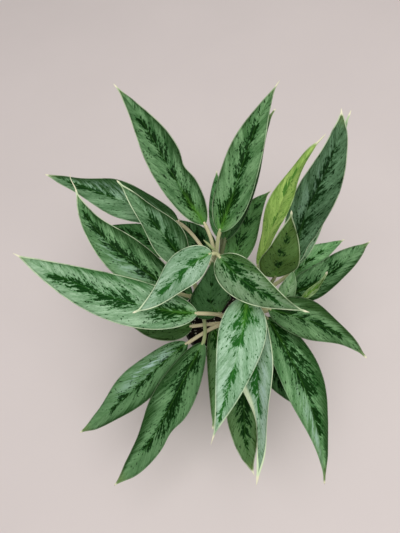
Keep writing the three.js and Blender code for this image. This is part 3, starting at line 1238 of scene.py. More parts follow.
@dataclass
class Pot:
    """The round nursery pot, with a turned rim and drain holes in its floor."""

    height: float = 112.0
    rim_radius: float = 60.0
    rim_height: float = 13.0
    rim_wall: float = 2.6
    shoulder_radius: float = 56.5
    base_radius: float = 42.0
    wall: float = 1.8
    floor: float = 2.4
    foot: float = 1.6
    foot_radius: float = 32.0
    hole_radius: float = 5.0
    hole_circle: float = 24.0
    holes: int = 4
    sides: int = 144
    smooth_below: float = 32.0
    finish: PotFinish = field(default_factory=PotFinish)

    @property
    def floor_top(self) -> float:
        """The height of the floor's upper side."""
        return self.foot + self.floor

    def inner_radius(self, height: float) -> float:
        """The wall's inner radius.

        Args:
            height: The height over the foot.

        Returns:
            The radius there.
        """
        share = height / (self.height - self.rim_height)
        return self.base_radius + (self.shoulder_radius - self.base_radius) * share - self.wall

    def outline(self) -> list[Pair]:
        """The wall's section, from the middle of the underside to the middle of the floor.

        Returns:
            Its points of radius and height.
        """
        shoulder = self.height - self.rim_height
        rim_inside = self.rim_radius - self.rim_wall
        return rounded([
            (0, 0, 0),
            (self.foot_radius, 0, 0.5),
            (self.foot_radius + self.foot, self.foot, 0.5),
            (self.base_radius - self.wall, self.foot, 0.4),
            (self.base_radius - self.wall, 0, 0.3),
            (self.base_radius, 0, 0.9),
            (self.shoulder_radius, shoulder, 0.7),
            (self.rim_radius, shoulder, 1.0),
            (self.rim_radius, self.height, 1.2),
            (rim_inside, self.height, 0.9),
            (rim_inside, shoulder + 1.5, 1.6),
            (self.inner_radius(shoulder), shoulder - self.wall, 0.8),
            (self.inner_radius(self.floor_top), self.floor_top, 1.4),
            (0, self.floor_top, 0),
        ])

    def shell(self) -> bpy.types.Object:
        """The turned wall and floor, without holes.

        Returns:
            The shell.
        """
        return lofted("pot_turned", [ring(radius, self.sides, lambda _x, _y, level=height: level)
                                     for radius, height in self.outline()])

    def drills(self) -> bpy.types.Object:
        """Upright cylinders where the drain holes go.

        Returns:
            One object with all of them.
        """
        mesh = bpy.data.meshes.new("pot_drills")
        shape = bmesh.new()
        for i in range(self.holes):
            angle = math.tau * (i + 0.5) / self.holes
            x, y = self.hole_circle * math.cos(angle), self.hole_circle * math.sin(angle)
            place = Matrix.Translation(metres((x, y, self.floor_top / 2)))
            bmesh.ops.create_cone(
                shape, cap_ends=True, segments=40, radius1=self.hole_radius * MM,
                radius2=self.hole_radius * MM, depth=self.floor_top * 2 * MM, matrix=place)
        shape.to_mesh(mesh)
        shape.free()
        return link_object("pot_drills", mesh)

    def build(self) -> list[bpy.types.Object]:
        """Makes the pot, which stands for its own node.

        Returns:
            The pot.
        """
        shell, drills = self.shell(), self.drills()
        cut = shell.modifiers.new("drain_holes", "BOOLEAN")
        cut.operation = "DIFFERENCE"
        cut.solver = "EXACT"
        cut.object = drills
        pot = keep_plain(shell, "nursery_pot")
        bpy.data.objects.remove(drills)
        pot.data.shade_smooth()
        pot.data.set_sharp_from_angle(angle=math.radians(self.smooth_below))
        pot.data.materials.clear()
        pot.data.materials.append(self.finish.material("moulded_plastic", self.height * MM))
        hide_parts("pot")
        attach(pot, BODY)
        return [pot]


# ---------------------------------------------------------------- soil


@dataclass
class Soil:
    """The potting mix: an uneven bed, loose crumbs of bark and peat, and white perlite grains.

    Lengths are millimetres. crumbs and grains are how many lie on a square metre.
    """

    pot: Pot
    edge_height: float = 98.0
    crown: float = 3.0
    gap: float = 0.3
    rings: int = 44
    sides: int = 120
    lump: float = 1.6
    lump_size: float = 8.0
    crumbs: float = 150000.0
    crumb_size: float = 1.5
    crumb_seed: int = 4
    grains: float = 16000.0
    grain_size: float = 2.8
    grain_seed: int = 182
    grain_shape: Triple = (1.0, 0.8, 0.62)
    size_range: Pair = (0.35, 1.25)
    bare_rim: float = 2.2
    level_enough: float = 0.4
    bed_finish: SoilFinish = field(default_factory=SoilFinish)
    perlite_finish: SoilFinish = field(default_factory=lambda: SoilFinish(
        dark="b9b3a6", mid="dcd8cd", light="f2f0ea", rough=0.8, grain_pitch=2200.0))

    def bed(self) -> bpy.types.Object:
        """The bed, a closed body that fills the pot.

        Returns:
            The bed.
        """
        outer = self.pot.inner_radius(self.edge_height) - self.gap
        floor = self.pot.floor_top + self.gap
        foot = self.pot.inner_radius(floor) - self.gap
        rings = [ring(radius, self.sides, lambda _x, _y, level=height: level)
                 for radius, height in ((0, floor), (foot, floor), (outer, self.edge_height))]
        shares = [1 - i / self.rings for i in range(1, self.rings + 1)]
        rings += [ring(outer * share, self.sides, self._top) for share in shares]
        return lofted("soil_bed", rings)

    def _top(self, x: float, y: float) -> float:
        """The height of the bed's surface.

        Args:
            x: The place to the right.
            y: The place to the back.

        Returns:
            The height there.
        """
        outer = self.pot.inner_radius(self.edge_height) - self.gap
        share = min(math.hypot(x, y) / outer, 1)
        spot = Vector((x, y, 0)) / self.lump_size
        lumps = noise.fractal(spot, 0.8, 2.1, 4)
        settle = min(1, (1 - share) * 6)
        return self.edge_height + self.crown * (1 - share**2) * 0.7 + self.lump * lumps * settle

    def scatter_rule(self) -> Rule:
        """The tree that strews grains over the bed's upper side.

        Returns:
            The tree.
        """
        rule = Rule("strewn_grains")
        density, size, spread = rule.ask("Density"), rule.ask("Size"), rule.ask("Rim Radius")
        seed, material = rule.ask("Seed", int), rule.ask("Material", bpy.types.Material)
        normal = Field(rule, rule.node("GeometryNodeInputNormal").outputs[0])
        place = Field(rule, rule.node("GeometryNodeInputPosition").outputs[0])
        _, _, up = rule.split(normal)
        x, y, _ = rule.split(place)
        inside = rule.math("LESS_THAN", rule.math("SQRT", x * x + y * y), spread)
        chosen = up.above(self.level_enough) * inside
        strew = rule.node("GeometryNodeDistributePointsOnFaces", distribute_method="RANDOM")
        rule.tree.links.new(rule.entry.outputs["Geometry"], strew.inputs["Mesh"])
        rule.feed(strew.inputs["Selection"], chosen)
        rule.feed(next(s for s in strew.inputs if s.name == "Density" and s.enabled), density)
        rule.feed(strew.inputs["Seed"], seed)
        ball = rule.node("GeometryNodeMeshIcoSphere")
        ball.inputs["Radius"].default_value = 0.5
        ball.inputs["Subdivisions"].default_value = 2
        dent = rule.noise(place, 2.3, 1)
        stretched = rule.vector("MULTIPLY", place, self.grain_shape) * (dent * 1.4 + 0.3)
        lump = rule.chain(ball.outputs["Mesh"], "GeometryNodeSetPosition", {"Position": stretched})
        scale = rule.chance("FLOAT", *self.size_range, seed)
        turn = rule.chance("FLOAT_VECTOR", 0.0, math.tau, seed)
        place_all = rule.node("GeometryNodeInstanceOnPoints")
        rule.tree.links.new(strew.outputs["Points"], place_all.inputs["Points"])
        rule.tree.links.new(lump, place_all.inputs["Instance"])
        rule.feed(place_all.inputs["Rotation"], turn)
        rule.feed(place_all.inputs["Scale"], scale * size)
        rule.end(place_all.outputs[0], material)
        return rule

    def build(self) -> list[bpy.types.Object]:
        """Makes the bed, which stands for the soil's node, with its crumbs and grains.

        Returns:
            The bed, the crumbs and the grains.
        """
        bed = self.bed()
        soil = self.bed_finish.material("damp_mix")
        bed.data.materials.append(soil)
        rule = self.scatter_rule()
        rim = (self.pot.inner_radius(self.edge_height) - self.bare_rim) * MM
        crumbs = rule.bake("bark_crumbs", {
            "Density": self.crumbs, "Size": self.crumb_size * MM, "Rim Radius": rim,
            "Seed": self.crumb_seed, "Material": soil}, bed.data.copy())
        perlite = rule.bake("perlite_grains", {
            "Density": self.grains, "Size": self.grain_size * MM, "Rim Radius": rim,
            "Seed": self.grain_seed, "Material": self.perlite_finish.material("perlite")}, bed.data.copy())
        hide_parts("soil")
        pieces = [bed, crumbs, perlite]
        for piece in pieces:
            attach(piece, BODY)
        return pieces


# ---------------------------------------------------------------- leaves


@dataclass(frozen=True)
class Leaf:
    """One blade and its stalk. Lengths are millimetres and angles degrees.

    Shape: node is the height on the cane where the stalk starts. arch lifts the midrib's middle, bow moves
    it to the right seen from the base, and sway bends it into an S. roll turns the blade round its chord.
    taper is larger for a blade that is widest near its base. wave and phase set the margins' waves. A notch
    is its side, its place along the blade and its depth as a share of the half-width. slim draws in the
    outer part of one half. thread is the length of the drip tip, and curl is where a curled one ends.

    Colour: left and right widen the green outer zone of that half, which is partly the leaf's own green
    margin and partly painted shade on the half turned from the light. A mark is a dark blotch: its place
    along the blade, and how far it spreads to the left and right as shares of the half-width. tone
    brightens the blade. cast above 0 lays a painted frosty reflection over it, blue-grey,
    which also lightens the blotches, and below 0 turns it olive. calm evens out its ground. speckle adds
    specks and glow the bright green by the rib's base. sheen lays a painted highlight on the right
    half, or on the left below 0, and painted_sheen_at is its place along the blade. margin is how whole
    the pale rim is. Above 1 the pale rim also widens by that many millimetres on the right, near the
    middle of the blade. stalk_green is 0 for beige and 1 for green, and darker above 1.
    """

    name: str
    node: float
    base: Triple
    tip: Triple
    width: float
    arch: float = 0
    bow: float = 0
    sway: float = 0
    roll: float = 0
    taper: float = 1.3
    wave: float = 0
    phase: float = 0
    notches: tuple[Triple, ...] = ()
    look: Look = Look.GREEN
    # left and right: the green outer zone of each half, partly painted shade.
    left: float = 0.25
    right: float = 0.25
    marks: tuple[Triple, ...] = ()
    tone: float = 1.0
    # Above 0 a painted frosty reflection, below 0 an olive tone.
    cast: float = 0
    speckle: float = 0
    glow: float = 0.2
    thread: float = 2
    slim: float = 0
    # A painted highlight on one half, and where it lies along the blade.
    sheen: float = 0
    painted_sheen_at: float = 0.5
    calm: float = 0.0
    margin: float = 0.5
    stalk_green: float = 0.5
    curl: Triple | None = None

    @property
    def seed(self) -> int:
        """A number of its own for the leaf's random draws."""
        return "abcde".index(self.name[0]) * 9 + int(self.name[1])

    def blotches(self) -> list[Triple]:
        """Its marks, or as many drawn at random where it has none of its own.

        Returns:
            The marks, filled up with empty ones.
        """
        draw = random.Random(self.seed)
        count = MARKS - len(self.marks) if not self.marks else 0
        drawn = [(0.14 + 0.72 * (i + draw.uniform(-0.3, 0.3)) / MARKS,
                  draw.uniform(0.1, 0.55), draw.uniform(0.1, 0.55)) for i in range(count)]
        listed = [*self.marks, *drawn]
        return listed + [(0.0, 0.0, 0.0)] * (MARKS - len(listed))

    def frame(self) -> tuple[Vector, Vector, Vector]:
        """The directions that the blade is laid out in, before it rolls.

        Returns:
            The chord's direction, up and right.
        """
        along = (metres(self.tip) - metres(self.base)).normalized()
        up = (Vector((0, 0, 1)) - along * along.z).normalized()
        return along, up, along.cross(up)

    def midrib(self) -> Curve:
        """The curve of its midrib.

        Returns:
            The curve.
        """
        _, up, right = self.frame()
        base, tip = metres(self.base), metres(self.tip)
        swell = (up * self.arch + right * self.bow) * (4 / 3 * MM)
        sway = right * (self.sway * MM)
        return Curve(base, base.lerp(tip, 1 / 3) + swell + sway, base.lerp(tip, 2 / 3) + swell - sway, tip)

    def facing(self) -> Vector:
        """The way that the blade's upper side faces."""
        along, up, _ = self.frame()
        return Matrix.Rotation(math.radians(self.roll), 3, along) @ up


LEAVES = (
    Leaf("a1", 182, (10, 83, 245), (-57, 266, 342), 51, arch=11, sway=-10, roll=6, taper=1.2, wave=-4,
         phase=0.4, notches=((1, 0.36, 0.22),), look=Look.GREEN, left=0.2, right=0.55,
         marks=((0.13, 0.4, 0.2), (0.2, 0.12, 0.3), (0.33, 0.15, 0.35), (0.46, 0.2, 0.45),
         (0.58, 0.3, 0.35), (0.68, 0.4, 0.2)), tone=0.76, glow=1.0, speckle=0.03, thread=6,
         stalk_green=0.15, margin=0.7),
    Leaf("a2", 188, (24, 64, 250), (139, 183, 350), 52, arch=10, bow=-2, sway=9, roll=-3, taper=1.3,
         wave=-3, phase=0.75, look=Look.GREEN, left=0.35, right=0.05, marks=((0.08, 0.6, 0.3),
         (0.17, 0.2, 0.35), (0.25, 0.15, 0.3), (0.37, 0.35, 0.2), (0.46, 0.4, 0.35), (0.57, 0.3, 0.2),
         (0.67, 0.4, 0.2)), tone=0.9, glow=0.8, thread=8, stalk_green=0.6, margin=0.6, cast=-0.1),
    Leaf("a3", 160, (30, 68, 218), (148, 216, 275), 47, arch=12, bow=-5, sway=6, roll=-8, taper=1.2,
         wave=2, phase=0.55, look=Look.DARK, tone=0.7, margin=0.35, stalk_green=2),
    Leaf("a4", 148, (27, 74, 210), (47, 166, 242), 34, arch=8, bow=1, sway=4, look=Look.DARK, tone=2.0,
         margin=0.3, stalk_green=2),
    Leaf("a5", 214, (13, 17, 275), (96, -66, 240), 45, arch=11, bow=15, sway=2, roll=20, taper=1.7,
         wave=-3, phase=0.65, look=Look.SILVER, left=0.62, right=0.2, marks=((0.08, 0.5, 0.4),
         (0.18, 0.45, 0.35), (0.3, 0.35, 0.25), (0.38, 0.25, 0.3), (0.5, 0.35, 0.3), (0.57, 0.3, 0.2),
         (0.65, 0.1, 0.45)), tone=0.78, cast=-0.42, thread=6, margin=0.8, speckle=0.1),
    Leaf("a6", 206, (6, 23, 275), (-102, -15, 256), 49, arch=-4, bow=2, sway=14, roll=5, taper=1.45,
         wave=2, phase=0.35, look=Look.SILVER, left=0, right=0.1, marks=((0.08, 0.2, 0.3),
         (0.2, 0.15, 0.25), (0.33, 0.3, 0.15), (0.39, 0.25, 0.2), (0.55, 0.12, 0.2), (0.63, 0.12, 0.3)),
         tone=0.95, cast=0.3, speckle=0.04, glow=0.4, sheen=-0.2, margin=0.9),
    Leaf("a7", 170, (-24, 118, 215), (-194, 235, 252), 57, arch=16, bow=-6.5, sway=-2, roll=7, taper=1.2,
         wave=5, phase=0.1, look=Look.GREEN, left=0.1, right=0.85, marks=((0.45, 0.1, 0.2),
         (0.55, 0.15, 0.2), (0.62, 0.35, 0.1), (0.67, 0.45, 0.1), (0.76, 0.3, 0.3)), cast=0.15, thread=5,
         stalk_green=0, sheen=0.4, margin=0.6, tone=0.9),
    Leaf("a8", 128, (29, 41, 186), (119, 137, 202), 49, arch=8, bow=-8, sway=6, roll=-7, taper=1.25,
         wave=2, look=Look.DARK, cast=-0.2, marks=((0.3, 0.3, 0.4), (0.5, 0.3, 0.6), (0.72, 0.3, 0.4)),
         margin=0.25, tone=1.6),
    Leaf("b1", 140, (115, 16, 200), (200, 139, 325), 57, arch=20, sway=-24, roll=32, taper=0.95,
         wave=-2.5, phase=0.5, notches=((1, 0.09, 0.2),), look=Look.DARK, left=0.1, right=0.1,
         marks=((0.18, 0.3, 0.35), (0.27, 0.35, 0.35), (0.42, 0.25, 0.4), (0.52, 0.35, 0.2),
         (0.62, 0.35, 0.3), (0.71, 0.3, 0.35)), tone=0.88, cast=0.12, thread=6, sheen=-0.2, margin=0.75),
    Leaf("b2", 128, (118, 22, 182), (225, 155, 300), 38, arch=12, bow=-3, sway=-2, look=Look.SILVER,
         thread=6, margin=0.7),
    Leaf("b3", 150, (79, 2, 205), (98, 22, 322), 49, arch=5, bow=2, sway=-5, roll=27, taper=1.35,
         wave=-2.5, phase=0.8, look=Look.DARK, left=0.3, right=0.2, tone=1.3, cast=-0.7, margin=0.7,
         marks=((0.25, 0.15, 0.2), (0.45, 0.25, 0.2), (0.65, 0.2, 0.25)), stalk_green=1.6),
    Leaf("b4", 146, (62, 25, 203), (157, 86, 350), 35, arch=8, bow=-7.5, sway=10, roll=-27, taper=0.95,
         wave=-4, phase=0.95, look=Look.YOUNG, marks=((0.38, 0.1, 0.2), (0.6, 0.3, 0.3), (0.7, 0.2, 0.1)),
         tone=1.4, thread=12, margin=0.6),
    Leaf("b5", 118, (109, 10, 156), (191, 37, 186), 37, arch=10, bow=-5, sway=-5, roll=-23, taper=1,
         wave=-2, phase=0.9, look=Look.GREEN, marks=((0.2, 0.2, 0.2), (0.35, 0.2, 0.2), (0.41, 0.1, 0.3),
         (0.6, 0.2, 0.2)), left=0, right=0.2, tone=1.4, margin=0.15),
    Leaf("b6", 134, (91, -12, 168), (210, 12, 214), 48, arch=11, bow=10, sway=7, roll=-15, taper=1.1,
         wave=2.5, look=Look.GREEN, left=0.3, right=0.5, marks=((0.1, 0.4, 0.4), (0.2, 0.3, 0.4),
         (0.3, 0.2, 0.3), (0.5, 0.5, 0.3), (0.6, 0.3, 0.2)), tone=0.8, margin=0.3),
    Leaf("b7", 116, (83, -24, 176), (107, 13, 196), 24, arch=4, bow=2, sway=-3, roll=-5, taper=1.4,
         wave=-2, phase=0.55, look=Look.SILVER, left=0, right=0, marks=((0, 0, 0),), cast=-0.5, tone=1.25,
         margin=0.15),
    Leaf("c1", 168, (33, -26, 235), (-54, -170, 188), 56, arch=22, bow=-7, sway=-3, roll=-14, taper=1.75,
         wave=-4.5, phase=0.55, look=Look.SILVER, left=0, right=0, marks=((0.08, 0.5, 0.3),
         (0.15, 0.15, 0.5), (0.28, 0.15, 0.35), (0.5, 0.2, 0.2), (0.58, 0.1, 0.35), (0.7, 0.3, 0.1),
         (0.76, 0, 0.45), (0.8, 0.5, 0)), tone=1.1, cast=0.3, glow=1.0, speckle=-0.02, thread=12,
         sheen=0.3, margin=0.7, painted_sheen_at=0.7),
    Leaf("c2", 160, (46, -36, 212), (-16, -222, 148), 46, arch=14, sway=10, roll=35, taper=1.35, wave=4.5,
         phase=0.25, look=Look.SILVER, left=0, right=0, slim=0.5,
         marks=((0.38, 0.2, 0.4), (0.46, 0, 0.3), (0.55, 0.3, 0.1)), cast=0.35, thread=10, sheen=-0.9,
         margin=9.5, tone=0.95),
    Leaf("c3", 148, (54, -41, 188), (64, -241, 118), 60, arch=19, bow=-13, sway=2, roll=-24, taper=1.35,
         wave=-2.5, phase=0.05, look=Look.GREEN, left=0.7, right=0, marks=((0.06, 0.5, 0.3),
         (0.15, 0.4, 0.3), (0.25, 0.6, 0.25), (0.35, 0.5, 0.3), (0.43, 0.5, 0.15), (0.58, 0.4, 0.1),
         (0.68, 0.35, 0.1)), tone=1.0, speckle=0.0, sheen=0.6, margin=0.35, painted_sheen_at=0.68),
    Leaf("c4", 154, (57, -37, 205), (159, -120, 165), 54, arch=7, bow=-9.5, sway=4, roll=-9, taper=1.4,
         wave=3, phase=0.7, look=Look.GREEN, left=0.7, right=0.3, marks=((0.1, 0.4, 0.2),
         (0.18, 0.3, 0.1), (0.3, 0.2, 0.3), (0.42, 0.3, 0.2), (0.5, 0.1, 0.4), (0.58, 0.2, 0.3),
         (0.65, 0.2, 0.3)), tone=0.8, margin=0.3, cast=-0.15),
    Leaf("c5", 122, (38, -42, 150), (67, -150, 115), 49, arch=12, bow=4, taper=1.1, look=Look.DARK,
         margin=0.2),
    Leaf("c6", 118, (15, -48, 142), (-15, -213, 104), 54, arch=14, bow=4, sway=-13, taper=1.05,
         look=Look.GREEN, left=0.5, right=0.3, marks=((0.45, 0.4, 0.4), (0.55, 0.4, 0.45),
         (0.66, 0.35, 0.25), (0.76, 0.2, 0.15)), cast=-0.45, thread=5, margin=0.6,
         tone=0.85, glow=0.5, calm=0.5),
    Leaf("c7", 160, (102, -32, 188), (133, -23, 240), 10, arch=-4, bow=2, sway=-2, wave=1.5, phase=0.7,
         look=Look.YOUNG, margin=0.2, tone=1.1, cast=0.35),
    Leaf("d1", 140, (-30, -21, 215), (-240, 108, 263), 60, arch=15, bow=-18, sway=-7, roll=-4, taper=1.25,
         look=Look.SILVER, left=0.1, right=0.45, marks=((0.07, 0.5, 0.4), (0.15, 0.4, 0.2),
         (0.33, 0.5, 0.4), (0.42, 0.4, 0.3), (0.54, 0.35, 0.35), (0.62, 0.4, 0.2), (0.71, 0.6, 0)),
         tone=0.92, glow=0.6, speckle=0.0, thread=11, stalk_green=0.1, margin=0.8),
    Leaf("d2", 132, (-44, -13, 150), (-164, 51, 130), 51, arch=10, bow=-3, sway=-12, roll=-6, taper=1.4,
         wave=-1, phase=0.25, look=Look.DARK, tone=0.9, cast=-0.3, stalk_green=0, margin=0.6),
    Leaf("d3", 136, (-56, -35, 152), (-229, -107, 122), 54, arch=14, bow=-6.5, sway=7, roll=12, taper=1,
         wave=4, look=Look.GREEN, left=0.5, right=0.1, marks=((0.05, 0.3, 0.3), (0.2, 0.15, 0.15),
         (0.32, 0.25, 0.05), (0.42, 0.3, 0.05), (0.56, 0.1, 0.3), (0.66, 0.25, 0.1)), tone=0.84,
         stalk_green=0, sheen=1.0, margin=0.4, painted_sheen_at=0.3, calm=0.6),
    Leaf("d4", 108, (-16, -17, 134), (-53, -147, 110), 35, arch=12, bow=-9, sway=-7, roll=-2,
         look=Look.GREEN, marks=((0.08, 0.3, 0.5), (0.15, 0.2, 0.5), (0.5, 0.1, 0.3)), left=0, right=0.4,
         tone=1.15, margin=0.4, cast=-0.35, calm=0.5),
    Leaf("d5", 136, (-2, -11, 165), (5, 36, 240), 56, arch=9, bow=-7, sway=-14, roll=7, wave=-2,
         phase=0.6, look=Look.DARK, tone=1.25, margin=0.2, cast=0,
         marks=((0.3, 0.15, 0.1), (0.6, 0.1, 0.15)), calm=0.3),
    Leaf("e1", 152, (-29, 55, 205), (-86, 159, 285), 52, arch=12, roll=17, taper=1.5, wave=-3.5,
         phase=0.85, look=Look.GREEN, left=0.1, right=0.6, marks=((0.17, 0.2, 0.3), (0.24, 0.25, 0.25),
         (0.3, 0.15, 0.3), (0.45, 0.35, 0.25), (0.53, 0.15, 0.25)), tone=0.85, cast=0.1, sheen=0.3,
         margin=0.85),
    Leaf("e2", 144, (-53, 27, 188), (-145, 179, 272), 58, arch=11, bow=-20, sway=11, roll=9, taper=1.3,
         wave=3.5, phase=0.05, look=Look.GREEN, curl=(-147, 197, 279), left=0, right=0.6,
         marks=((0.17, 0.2, 0.3), (0.24, 0.3, 0.15), (0.33, 0.1, 0.35), (0.42, 0.2, 0.3),
         (0.5, 0.3, 0.35), (0.6, 0.2, 0.3), (0.68, 0.35, 0.2), (0.78, 0.5, 0.3)), tone=0.9, thread=5,
         sheen=-0.5, margin=0.85, painted_sheen_at=0.4),
    Leaf("e3", 124, (-40, 100, 172), (-135, 165, 190), 50, arch=10, bow=-4, sway=-1, look=Look.DARK,
         tone=2.0, margin=0.3),
    Leaf("e4", 134, (9, 64, 188), (-24, 140, 190), 40, arch=8, look=Look.DARK, margin=0.3),
    Leaf("e5", 118, (-34, -46, 170), (-190, -181, 125), 55, arch=18, bow=-13, sway=8, roll=12, taper=1.0,
         wave=-4, phase=0.7, notches=((-1, 0.52, 0.2),), look=Look.GREEN, left=0.2, right=0.62,
         marks=((0.1, 0.5, 0.4), (0.17, 0.2, 0.3), (0.25, 0.3, 0.5), (0.34, 0.5, 0.2), (0.42, 0.6, 0.15),
         (0.52, 0.5, 0.1), (0.65, 0.3, 0.2)), tone=0.85, stalk_green=0.9, margin=0.45, calm=0.5),
    Leaf("e6", 112, (-34, 38, 136), (-112, 84, 128), 44, arch=8, look=Look.DARK, margin=0.3),
)


class BladeRule(Rule):
    """The tree that bends a net into a blade, with the fields that its steps share.

    t is the share of the length and s the metres along the rib. v runs from -1 at one margin to 1 at the
    other and across is its size. far is 1 on one half, and under is 1 on the underside. settle is 0 at both
    ends of the blade and 1 between them.
    """

    def __init__(self, sizes: BladeMaker) -> None:
        """Asks for the inputs, lays out the net, bends it and ends the tree.

        Args:
            sizes: The sizes that all blades share.
        """
        super().__init__("blade")
        self.sizes = sizes
        points = [self.ask(label, Vector) for label in ("Base", "Near Handle", "Far Handle", "Tip")]
        facing, tune, shade, accent = (self.ask(label, Vector)
                                       for label in ("Facing", "Tune", "Shade", "Accent"))
        self.notches = [self.ask(f"Notch {i + 1}", Vector) for i in range(NOTCHES)]
        self.marks = [self.ask(f"Mark {i + 1}", Vector) for i in range(MARKS)]
        self.width, self.taper, self.wave, self.phase, self.thread, self.slim = (
            self.ask(label) for label in ("Width", "Taper", "Wave", "Phase", "Thread", "Slim"))
        margin, sheen, painted_sheen_at, calm = (self.ask(label)
                                         for label in ("Margin", "Sheen", "Sheen Place", "Calm"))
        material = self.ask("Material", bpy.types.Material)

        net, around, along = self.grid(2 * sizes.columns, sizes.rows)
        self.seed, self.length, _ = self.split(tune)
        self.t = self.clamp(along**sizes.crowding, sizes.end_share, 1 - sizes.end_share)
        self.s = self.t * self.length * MM
        u = 1 - abs(around * 4 - 2)
        self.v = (u + self.sine(u * 0.25)) * 0.5
        self.across = abs(self.v)
        self.far = self.v.above(0)
        self.under = around.above(0.5)
        self.settle = self.math("SINE", self.t * math.pi) ** sizes.wave_onset

        centre, heading = bezier(points, self.t)
        up = (facing - heading * facing.dot(heading)).normalized()
        right = heading.cross(up)
        reach = self.reach()
        x = self.across * reach
        level = self.height(reach, x) - self.under * self.thickness(x)
        bent = centre + right * (self.v * reach * math.cos(math.radians(sizes.fold))) + up * level
        bent = centre + (bent - centre) * self.open_row(along, sizes.rows)

        dark = self.math("MINIMUM", self.darkness(x), sizes.darkest)
        for label, value in (
                ("place", self.gather(self.v, self.t, reach * (1 / MM))),
                ("tune", self.gather(self.seed, self.length, dark)),
                ("shade", shade),
                ("accent", accent),
                ("hem", self.gather(self.under, self.thread * (1 / MM), sheen)),
                ("rim", self.gather(margin, painted_sheen_at, 1 - calm))):
            net = self.store(net, label, value)
        self.close(self.chain(net, "GeometryNodeSetPosition", {"Position": bent}), material)

    def outline(self, t: Field) -> Field:
        """The half-width rule before it is scaled: round at the base, drawn out at the tip."""
        return t**self.sizes.roundness * (1 - t) ** self.taper

    def reach(self) -> Field:
        """The half-width with its notches, its slim half and the drip thread.

        Returns:
            The half-width at each place, in metres.
        """
        sizes = self.sizes
        widest = self.math("DIVIDE", sizes.roundness, self.taper + sizes.roundness)
        ends = (self.t * (sizes.tip_width - sizes.stalk_width) + sizes.stalk_width) * (MM / 2)
        half = self.width * 0.5 * (self.outline(self.t) / self.outline(widest))
        half = self.math("MAXIMUM", half, ends)
        for notch in self.notches:
            side, place, depth = self.split(notch)
            bite = self.bell(self.t - place, sizes.notch_spread) * depth
            half = half * (1 - bite * (side * self.v).above(0))
        slim_half = self.math("MAXIMUM", self.slim * (self.far * 2 - 1), 0.0)
        half = half * (1 - slim_half * self.step(self.t, *sizes.slim_range))
        half = half * (1 - self.step(self.t, sizes.drawn_from, 1.0) * sizes.drawn_share)
        left_over = self.length * MM - self.s
        drawn_out = self.step(left_over, self.thread * 0.3, self.thread * 1.8)
        strand = self.clamp(left_over / (self.thread + MM), 0.2, 1.0) * (sizes.thread_radius * MM)
        return self.math("MAXIMUM", half * drawn_out, strand)

    def height(self, reach: Field, x: Field) -> Field:
        """The upper side's height over the midrib's curve.

        Args:
            reach: The half-width.
            x: The distance out from the midrib.

        Returns:
            Fold, cup, waves, crisp margin, quilting and the sunk midrib together.
        """
        sizes = self.sizes
        turns = self.t * sizes.waves + self.phase + self.far * sizes.far_edge_lag
        ripple = self.wave * self.sine(turns) * (self.across * self.across) * self.settle
        crisp = self.noise(self.gather(self.t * 11, self.far * 7 + self.seed, 0.0), 1.0, 1) - 0.5
        crisp = crisp * (self.across**3) * self.settle * (sizes.crisp * MM)
        wide, long = sizes.quilt_pitch
        cells = self.gather(x * wide, (self.s - x * sizes.quilt_slant) * long, self.seed)
        quilt = (self.noise(cells, 1.0, 1) - 0.5) * (1.15 - self.across) * self.step(x, 0.0, 4 * MM)
        quilt = quilt * self.settle * (sizes.quilt * MM)
        groove = self.bell(x, sizes.groove_spread * MM) * (sizes.groove * MM) * self.settle
        rise = self.across * math.sin(math.radians(sizes.fold)) - self.across * self.across * sizes.cup
        return reach * rise + ripple + crisp + quilt - groove

    def thickness(self, x: Field) -> Field:
        """How thick the blade is, rounded off at the margin and the tip.

        Args:
            x: The distance out from the midrib.

        Returns:
            How far the underside lies below the upper side.
        """
        sizes = self.sizes
        rib = self.bell(x, sizes.rib_spread * MM) * (1 - self.t * 0.7)
        body = rib * ((sizes.rib_thickness - sizes.skin_thickness) * MM) + sizes.skin_thickness * MM
        rounding = self.math("SQRT", self.math("MAXIMUM", 1 - self.across**6, 0.0))
        return body * rounding * self.step(1 - self.t, 0.0, 0.03)

    def darkness(self, x: Field) -> Field:
        """How strongly the marks darken a place, swept towards the tip as the veins are.

        Args:
            x: The distance out from the midrib.

        Returns:
            The strength, 1 in the middle of a mark.
        """
        swept = self.t - x * (self.sizes.mark_sweep / MM) / self.length
        dark = 0
        for mark in self.marks:
            middle, left, right = self.split(mark)
            spread = self.math("MAXIMUM", self.blend(self.far, left, right), 0.01)
            dark = self.bell(swept - middle, self.sizes.mark_spread) * self.bell(self.across, spread) + dark
        return dark


